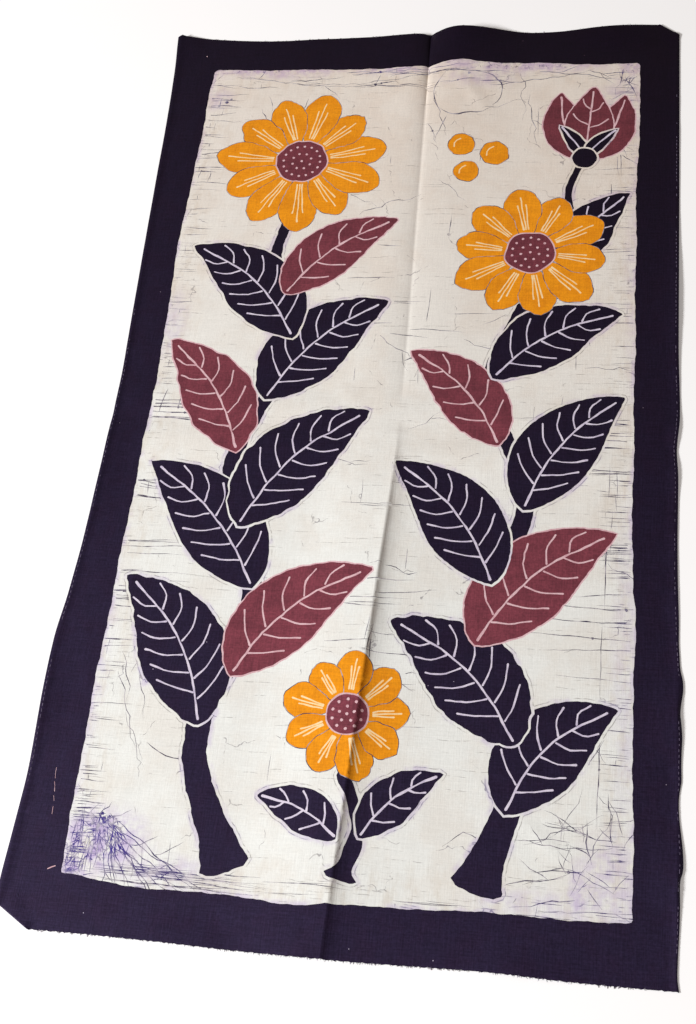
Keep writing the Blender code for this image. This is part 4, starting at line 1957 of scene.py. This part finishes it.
@dataclass(frozen=True)
class YarnFinish:
    """Spun cotton yarn, matt and a little fuzzy, that took the dye unevenly.

    Its twist shows as a fine roughness, drawn at 0.4 mm because a real one is too fine to show.
    """

    name: str
    colour: str
    cloud: str
    cloud_size: float = 9.0
    twist_size: float = 0.4

    def make(self) -> Material:
        """Put the finish together.

        Returns:
            The material.
        """
        material = empty_material(self.name)
        add = partial(add_node, material.node_tree)
        place = add("TexCoord").outputs["Object"]
        clouds = add("TexNoise", {"Vector": place, "Scale": 1.0 / (self.cloud_size * MM), "Detail": 3.0})
        mixed = add("MixRGB", {"Fac": clouds, "Color1": linear(self.colour), "Color2": linear(self.cloud)})
        twist = add("TexNoise", {"Vector": place, "Scale": 1.0 / (self.twist_size * MM), "Detail": 2.0})
        surface = {
            "Base Color": mixed,
            "Normal": add("Bump", {"Height": twist, "Strength": 0.5, "Distance": 0.1 * MM}),
            "Roughness": 0.9,
            "Sheen Weight": 0.2,
            "Specular IOR Level": 0.2,
        }
        add("OutputMaterial", {"Surface": add("BsdfPrincipled", surface)})
        return material


def joined(name: str, parts: Sequence[Object]) -> Object:
    """Join small parts into one piece at the origin.

    Args:
        name: the piece's name.
        parts: the parts, each with its own mesh.

    Returns:
        The piece.
    """
    pick(*parts)
    bpy.ops.object.join()
    piece = bpy.context.view_layer.objects.active
    bpy.ops.object.transform_apply(location=True, rotation=True, scale=True)
    piece.name = name
    piece.data.name = name
    return piece


def draw_out(thread: Object, way: float, by: Sequence[float], size: Sequence[float]) -> None:
    """Draw one end of a thread out, thinner.

    Args:
        thread: the thread, along Y.
        way: 1 for its far end, -1 for its near one.
        by: how far the end goes.
        size: the end's new size against its old one.
    """
    bpy.ops.object.mode_set(mode="EDIT")
    bpy.ops.mesh.select_mode(type="FACE")
    bpy.ops.mesh.select_all(action="DESELECT")
    bpy.ops.object.mode_set(mode="OBJECT")
    max(thread.data.polygons, key=lambda face: way * face.center.y).select = True
    bpy.ops.object.mode_set(mode="EDIT")
    bpy.ops.mesh.extrude_region_move(TRANSFORM_OT_translate={"value": by})
    bpy.ops.transform.resize(value=size)
    bpy.ops.object.mode_set(mode="OBJECT")


def copy_at(master: Object, place: Matrix) -> Object:
    """Copy a small part, with its own mesh, to a place.

    Args:
        master: the part.
        place: where its copy goes.

    Returns:
        The copy.
    """
    part = master.copy()
    part.data = master.data.copy()
    bpy.context.scene.collection.objects.link(part)
    part.matrix_world = place
    return part


@dataclass
class HemStitches:
    """The broken line of pale thread that holds the narrow hem of both long edges."""

    shape: ClothShape
    length: float = 3.4
    width: float = 0.65
    height: float = 0.4
    from_edge: float = 3.1
    worn_pitch: float = 60.0
    worn_under: float = -0.18
    runs: tuple[tuple[float, float, float, float], ...] = (
        (-1.0, -400.0, 130.0, 5.6),
        (1.0, -505.0, 430.0, 5.0),
    )

    def one_stitch(self) -> Object:
        """Model one stitch that dips into the cloth at both ends.

        Returns:
            The stitch, lying along +Y on the floor of its own place.
        """
        pick()
        bpy.ops.mesh.primitive_cylinder_add(vertices=6, radius=0.5, depth=1.0, rotation=(math.pi / 2, 0, 0))
        stitch = bpy.context.view_layer.objects.active
        bpy.ops.object.transform_apply(location=False, rotation=True, scale=False)
        bpy.ops.object.mode_set(mode="EDIT")
        bpy.ops.mesh.select_all(action="SELECT")
        size = (self.width * MM, 0.7 * self.length * MM, self.height * MM)
        bpy.ops.transform.resize(value=size)
        bpy.ops.object.mode_set(mode="OBJECT")
        for way in (1.0, -1.0):
            by = (0.0, way * 0.15 * self.length * MM, -0.3 * self.height * MM)
            draw_out(stitch, way, by, (0.6, 1.0, 0.6))
        return stitch

    def build(self) -> Object:
        """Set the stitches along both edges, with the gaps of worn places.

        Returns:
            All stitches as one piece.
        """
        random = np.random.default_rng(5)
        master = self.one_stitch()
        parts = []
        for side, start, end, pitch in self.runs:
            for y in np.arange(start, end, pitch):
                worn = noise.noise(Vector((side * 3.0, y / self.worn_pitch, 0.0)))
                if worn + random.uniform(-0.35, 0.35) < self.worn_under:
                    continue
                x = side * (self.shape.half_width - self.from_edge + random.uniform(-0.25, 0.25))
                here, ahead = self.shape.fold(np.array([(x, y), (x, y + 2.0)]))
                lean = math.atan2(ahead[1] - here[1], ahead[0] - here[0]) - math.pi / 2
                long = random.uniform(0.55, 1.15)
                top = here[2] + 0.5 * self.shape.thickness + 0.1 * self.height
                place = Matrix.Translation(Vector((here[0], here[1], top)) * MM)
                place @= Matrix.Rotation(lean + random.uniform(-0.08, 0.08), 4, "Z")
                place @= Matrix.Diagonal((random.uniform(0.7, 1.2), long, 1.0, 1.0))
                parts.append(copy_at(master, place))
        bpy.data.objects.remove(master, do_unlink=True)
        return joined("hem_stitches", parts)


@dataclass
class FrayedEnds:
    """The short yarn ends that work loose along the two cut edges."""

    shape: ClothShape
    yarn: float = 0.65
    reach: float = 2.6
    pitch: float = 1.9
    clear_left: float = 44.0
    clear_right: float = 30.0
    far_share: float = 0.3
    curls: tuple[float, ...] = (-24.0, -6.0, 10.0, 30.0)

    def one_end(self, curl: float) -> Object:
        """Model one yarn end that curls as it leaves the cloth.

        Args:
            curl: how much it turns at each step, in degrees.

        Returns:
            The yarn end, leaving its place along +Y.
        """
        pick()
        step = self.reach * MM / 4.0
        bpy.ops.mesh.primitive_cylinder_add(
            vertices=5, radius=0.5 * self.yarn * MM, depth=step, rotation=(math.pi / 2, 0, 0)
        )
        end = bpy.context.view_layer.objects.active
        bpy.ops.object.transform_apply(location=False, rotation=True, scale=False)
        heading = 0.0
        for _ in range(3):
            heading += math.radians(curl)
            ahead = (step * math.sin(heading), step * math.cos(heading), -0.12 * step)
            draw_out(end, 1.0, ahead, (0.86, 0.86, 0.86))
        return end

    def build(self, name: str, seed: int, chance: float, length: Pair) -> Object:
        """Set yarn ends along the near and the far edge.

        Args:
            name: the piece's name.
            seed: what their unevenness starts from.
            chance: how often a place has an end on the near edge.
            length: least and most length against the master's.

        Returns:
            All the ends as one piece.
        """
        random = np.random.default_rng(seed)
        masters = [self.one_end(curl) for curl in self.curls]
        parts = []
        wide = self.shape.half_width
        for edge, share in ((-1.0, chance), (1.0, self.far_share * chance)):
            for x in np.arange(-wide + self.clear_left, wide - self.clear_right, self.pitch):
                if random.uniform() > share:
                    continue
                x += random.uniform(-0.8, 0.8)
                y = edge * (self.shape.half_length - 0.4)
                here = self.shape.fold(np.array([(x, y)]))[0]
                angle = random.normal(0.0, 0.45) + (0.0 if edge > 0 else math.pi)
                size = random.uniform(*length)
                place = Matrix.Translation(Vector((here[0], here[1], here[2])) * MM)
                place @= Matrix.Rotation(angle, 4, "Z")
                place @= Matrix.Diagonal((1.0, size, 1.0, 1.0))
                parts.append(copy_at(masters[int(random.integers(len(masters)))], place))
        for master in masters:
            bpy.data.objects.remove(master, do_unlink=True)
        return joined(name, parts)


@dataclass(frozen=True)
class Studio:
    """A pale floor, low soft light from the near left, and the camera over the near edge."""

    camera_at: Triple = (0.1911, -0.6636, 1.1622)
    camera_aim: Triple = (-0.0223, -0.1094, 0.0)
    camera_roll: float = -16.63
    focal_length: float = 46.2
    floor_size: float = 12.0
    floor_gap: float = 0.2
    floor_colour: str = "#f6f5f3"
    floor_glow: float = 0.22
    lamp_at: Triple = (-3.4, -1.8, 2.35)
    lamp_size: float = 1.1
    lamp_watts: float = 274.0
    lamp_colour: str = "#fbfcff"
    sky_colour: str = "#ffeee8"
    sky_strength: float = 0.22

    def floor(self) -> Object:
        """Lay the floor just under the cloth.

        Returns:
            The floor.
        """
        pick()
        bpy.ops.mesh.primitive_plane_add(size=self.floor_size, location=(0.0, 0.0, -self.floor_gap * MM))
        floor = bpy.context.view_layer.objects.active
        floor.name = "floor"
        material = bpy.data.materials.new("pale_floor")
        material.use_nodes = True
        shader = material.node_tree.nodes["Principled BSDF"]
        shader.inputs["Base Color"].default_value = linear(self.floor_colour)
        shader.inputs["Roughness"].default_value = 0.9
        shader.inputs["Emission Color"].default_value = linear(self.floor_colour)
        shader.inputs["Emission Strength"].default_value = self.floor_glow
        floor.data.materials.append(material)
        floor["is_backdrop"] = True
        return floor

    def lights(self) -> None:
        """Hang the soft lamp that looks at the cloth's middle, and set the sky."""
        lamp = bpy.data.lights.new("window_left", "AREA")
        lamp.shape = "DISK"
        lamp.size = self.lamp_size
        lamp.energy = self.lamp_watts
        lamp.color = linear(self.lamp_colour)[:3]
        holder = bpy.data.objects.new("window_left", lamp)
        bpy.context.scene.collection.objects.link(holder)
        holder.location = self.lamp_at
        holder.rotation_euler = (-Vector(self.lamp_at)).to_track_quat("-Z", "Y").to_euler()
        world = bpy.data.worlds.new("studio")
        bpy.context.scene.world = world
        world.use_nodes = True
        sky = world.node_tree.nodes["Background"]
        sky.inputs["Color"].default_value = linear(self.sky_colour)
        sky.inputs["Strength"].default_value = self.sky_strength

    def camera(self) -> None:
        """Set the camera where the cloth was seen from, with its slight roll."""
        lens = bpy.data.cameras.new("camera")
        lens.lens = self.focal_length
        lens.sensor_width = 36.0
        lens.clip_start = 0.05
        holder = bpy.data.objects.new("camera", lens)
        bpy.context.scene.collection.objects.link(holder)
        ahead = Vector(self.camera_aim) - Vector(self.camera_at)
        turned = ahead.to_track_quat("-Z", "Y").to_matrix().to_4x4()
        roll = Matrix.Rotation(math.radians(self.camera_roll), 4, "Z")
        holder.matrix_world = Matrix.Translation(self.camera_at) @ turned @ roll
        bpy.context.scene.camera = holder

    def build(self) -> Object:
        """Set up camera, lights and floor.

        Returns:
            The floor.
        """
        self.camera()
        self.lights()
        bpy.context.scene.view_settings.view_transform = "Standard"
        return self.floor()


def main() -> None:
    """Build the studio, the cloth and the threads on it, and report each piece."""
    logging.basicConfig(level=logging.INFO, format="%(name)s: %(message)s")
    floor = Studio().build()
    shape = ClothShape()
    drawing = Drawing(Hand(7))
    for line, width in BORDER_MARKS:
        drawing.wax(line, Dye.MAROON, width)
    for motif in GARDEN:
        motif.draw(drawing)
    field_outline = FieldPlan().outline(Hand(3))
    motifs = tuple(patch.outline for patch in drawing.patches if patch.is_motif)
    Crackle(field_outline, motifs).draw(drawing)
    LOG.info("drew %d patches", len(drawing.patches))

    cloth = BatikCloth(shape, drawing, field_outline).build()
    for dye in Dye:
        cloth.data.materials.append(FINISHES[dye].make())
    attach(cloth, BODY)
    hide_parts(CLOTH_NODE)
    LOG.info("%s: %d faces", cloth.name, len(cloth.data.polygons))

    pale = YarnFinish("undyed_cotton_yarn", "#7d7289", "#4b4158")
    dark = YarnFinish("indigo_cotton_yarn", "#2b1f39", "#191124")
    white = YarnFinish("pale_cotton_yarn", "#d8d0dc", "#8f84a0")
    trims = [
        (HemStitches(shape).build(), pale),
        (FrayedEnds(shape).build("frayed_dark_ends", 21, 0.75, (0.4, 1.0)), dark),
        (FrayedEnds(shape).build("frayed_pale_ends", 22, 0.09, (0.5, 1.3)), white),
    ]
    for piece, finish in trims:
        piece.data.materials.clear()
        piece.data.materials.append(finish.make())
        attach(piece, BODY)
        LOG.info("%s: %d faces", piece.name, len(piece.data.polygons))

    boxes = [[list(corner) for corner in box] for box in (cad_box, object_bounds())]


if __name__ == "__main__":
    main()
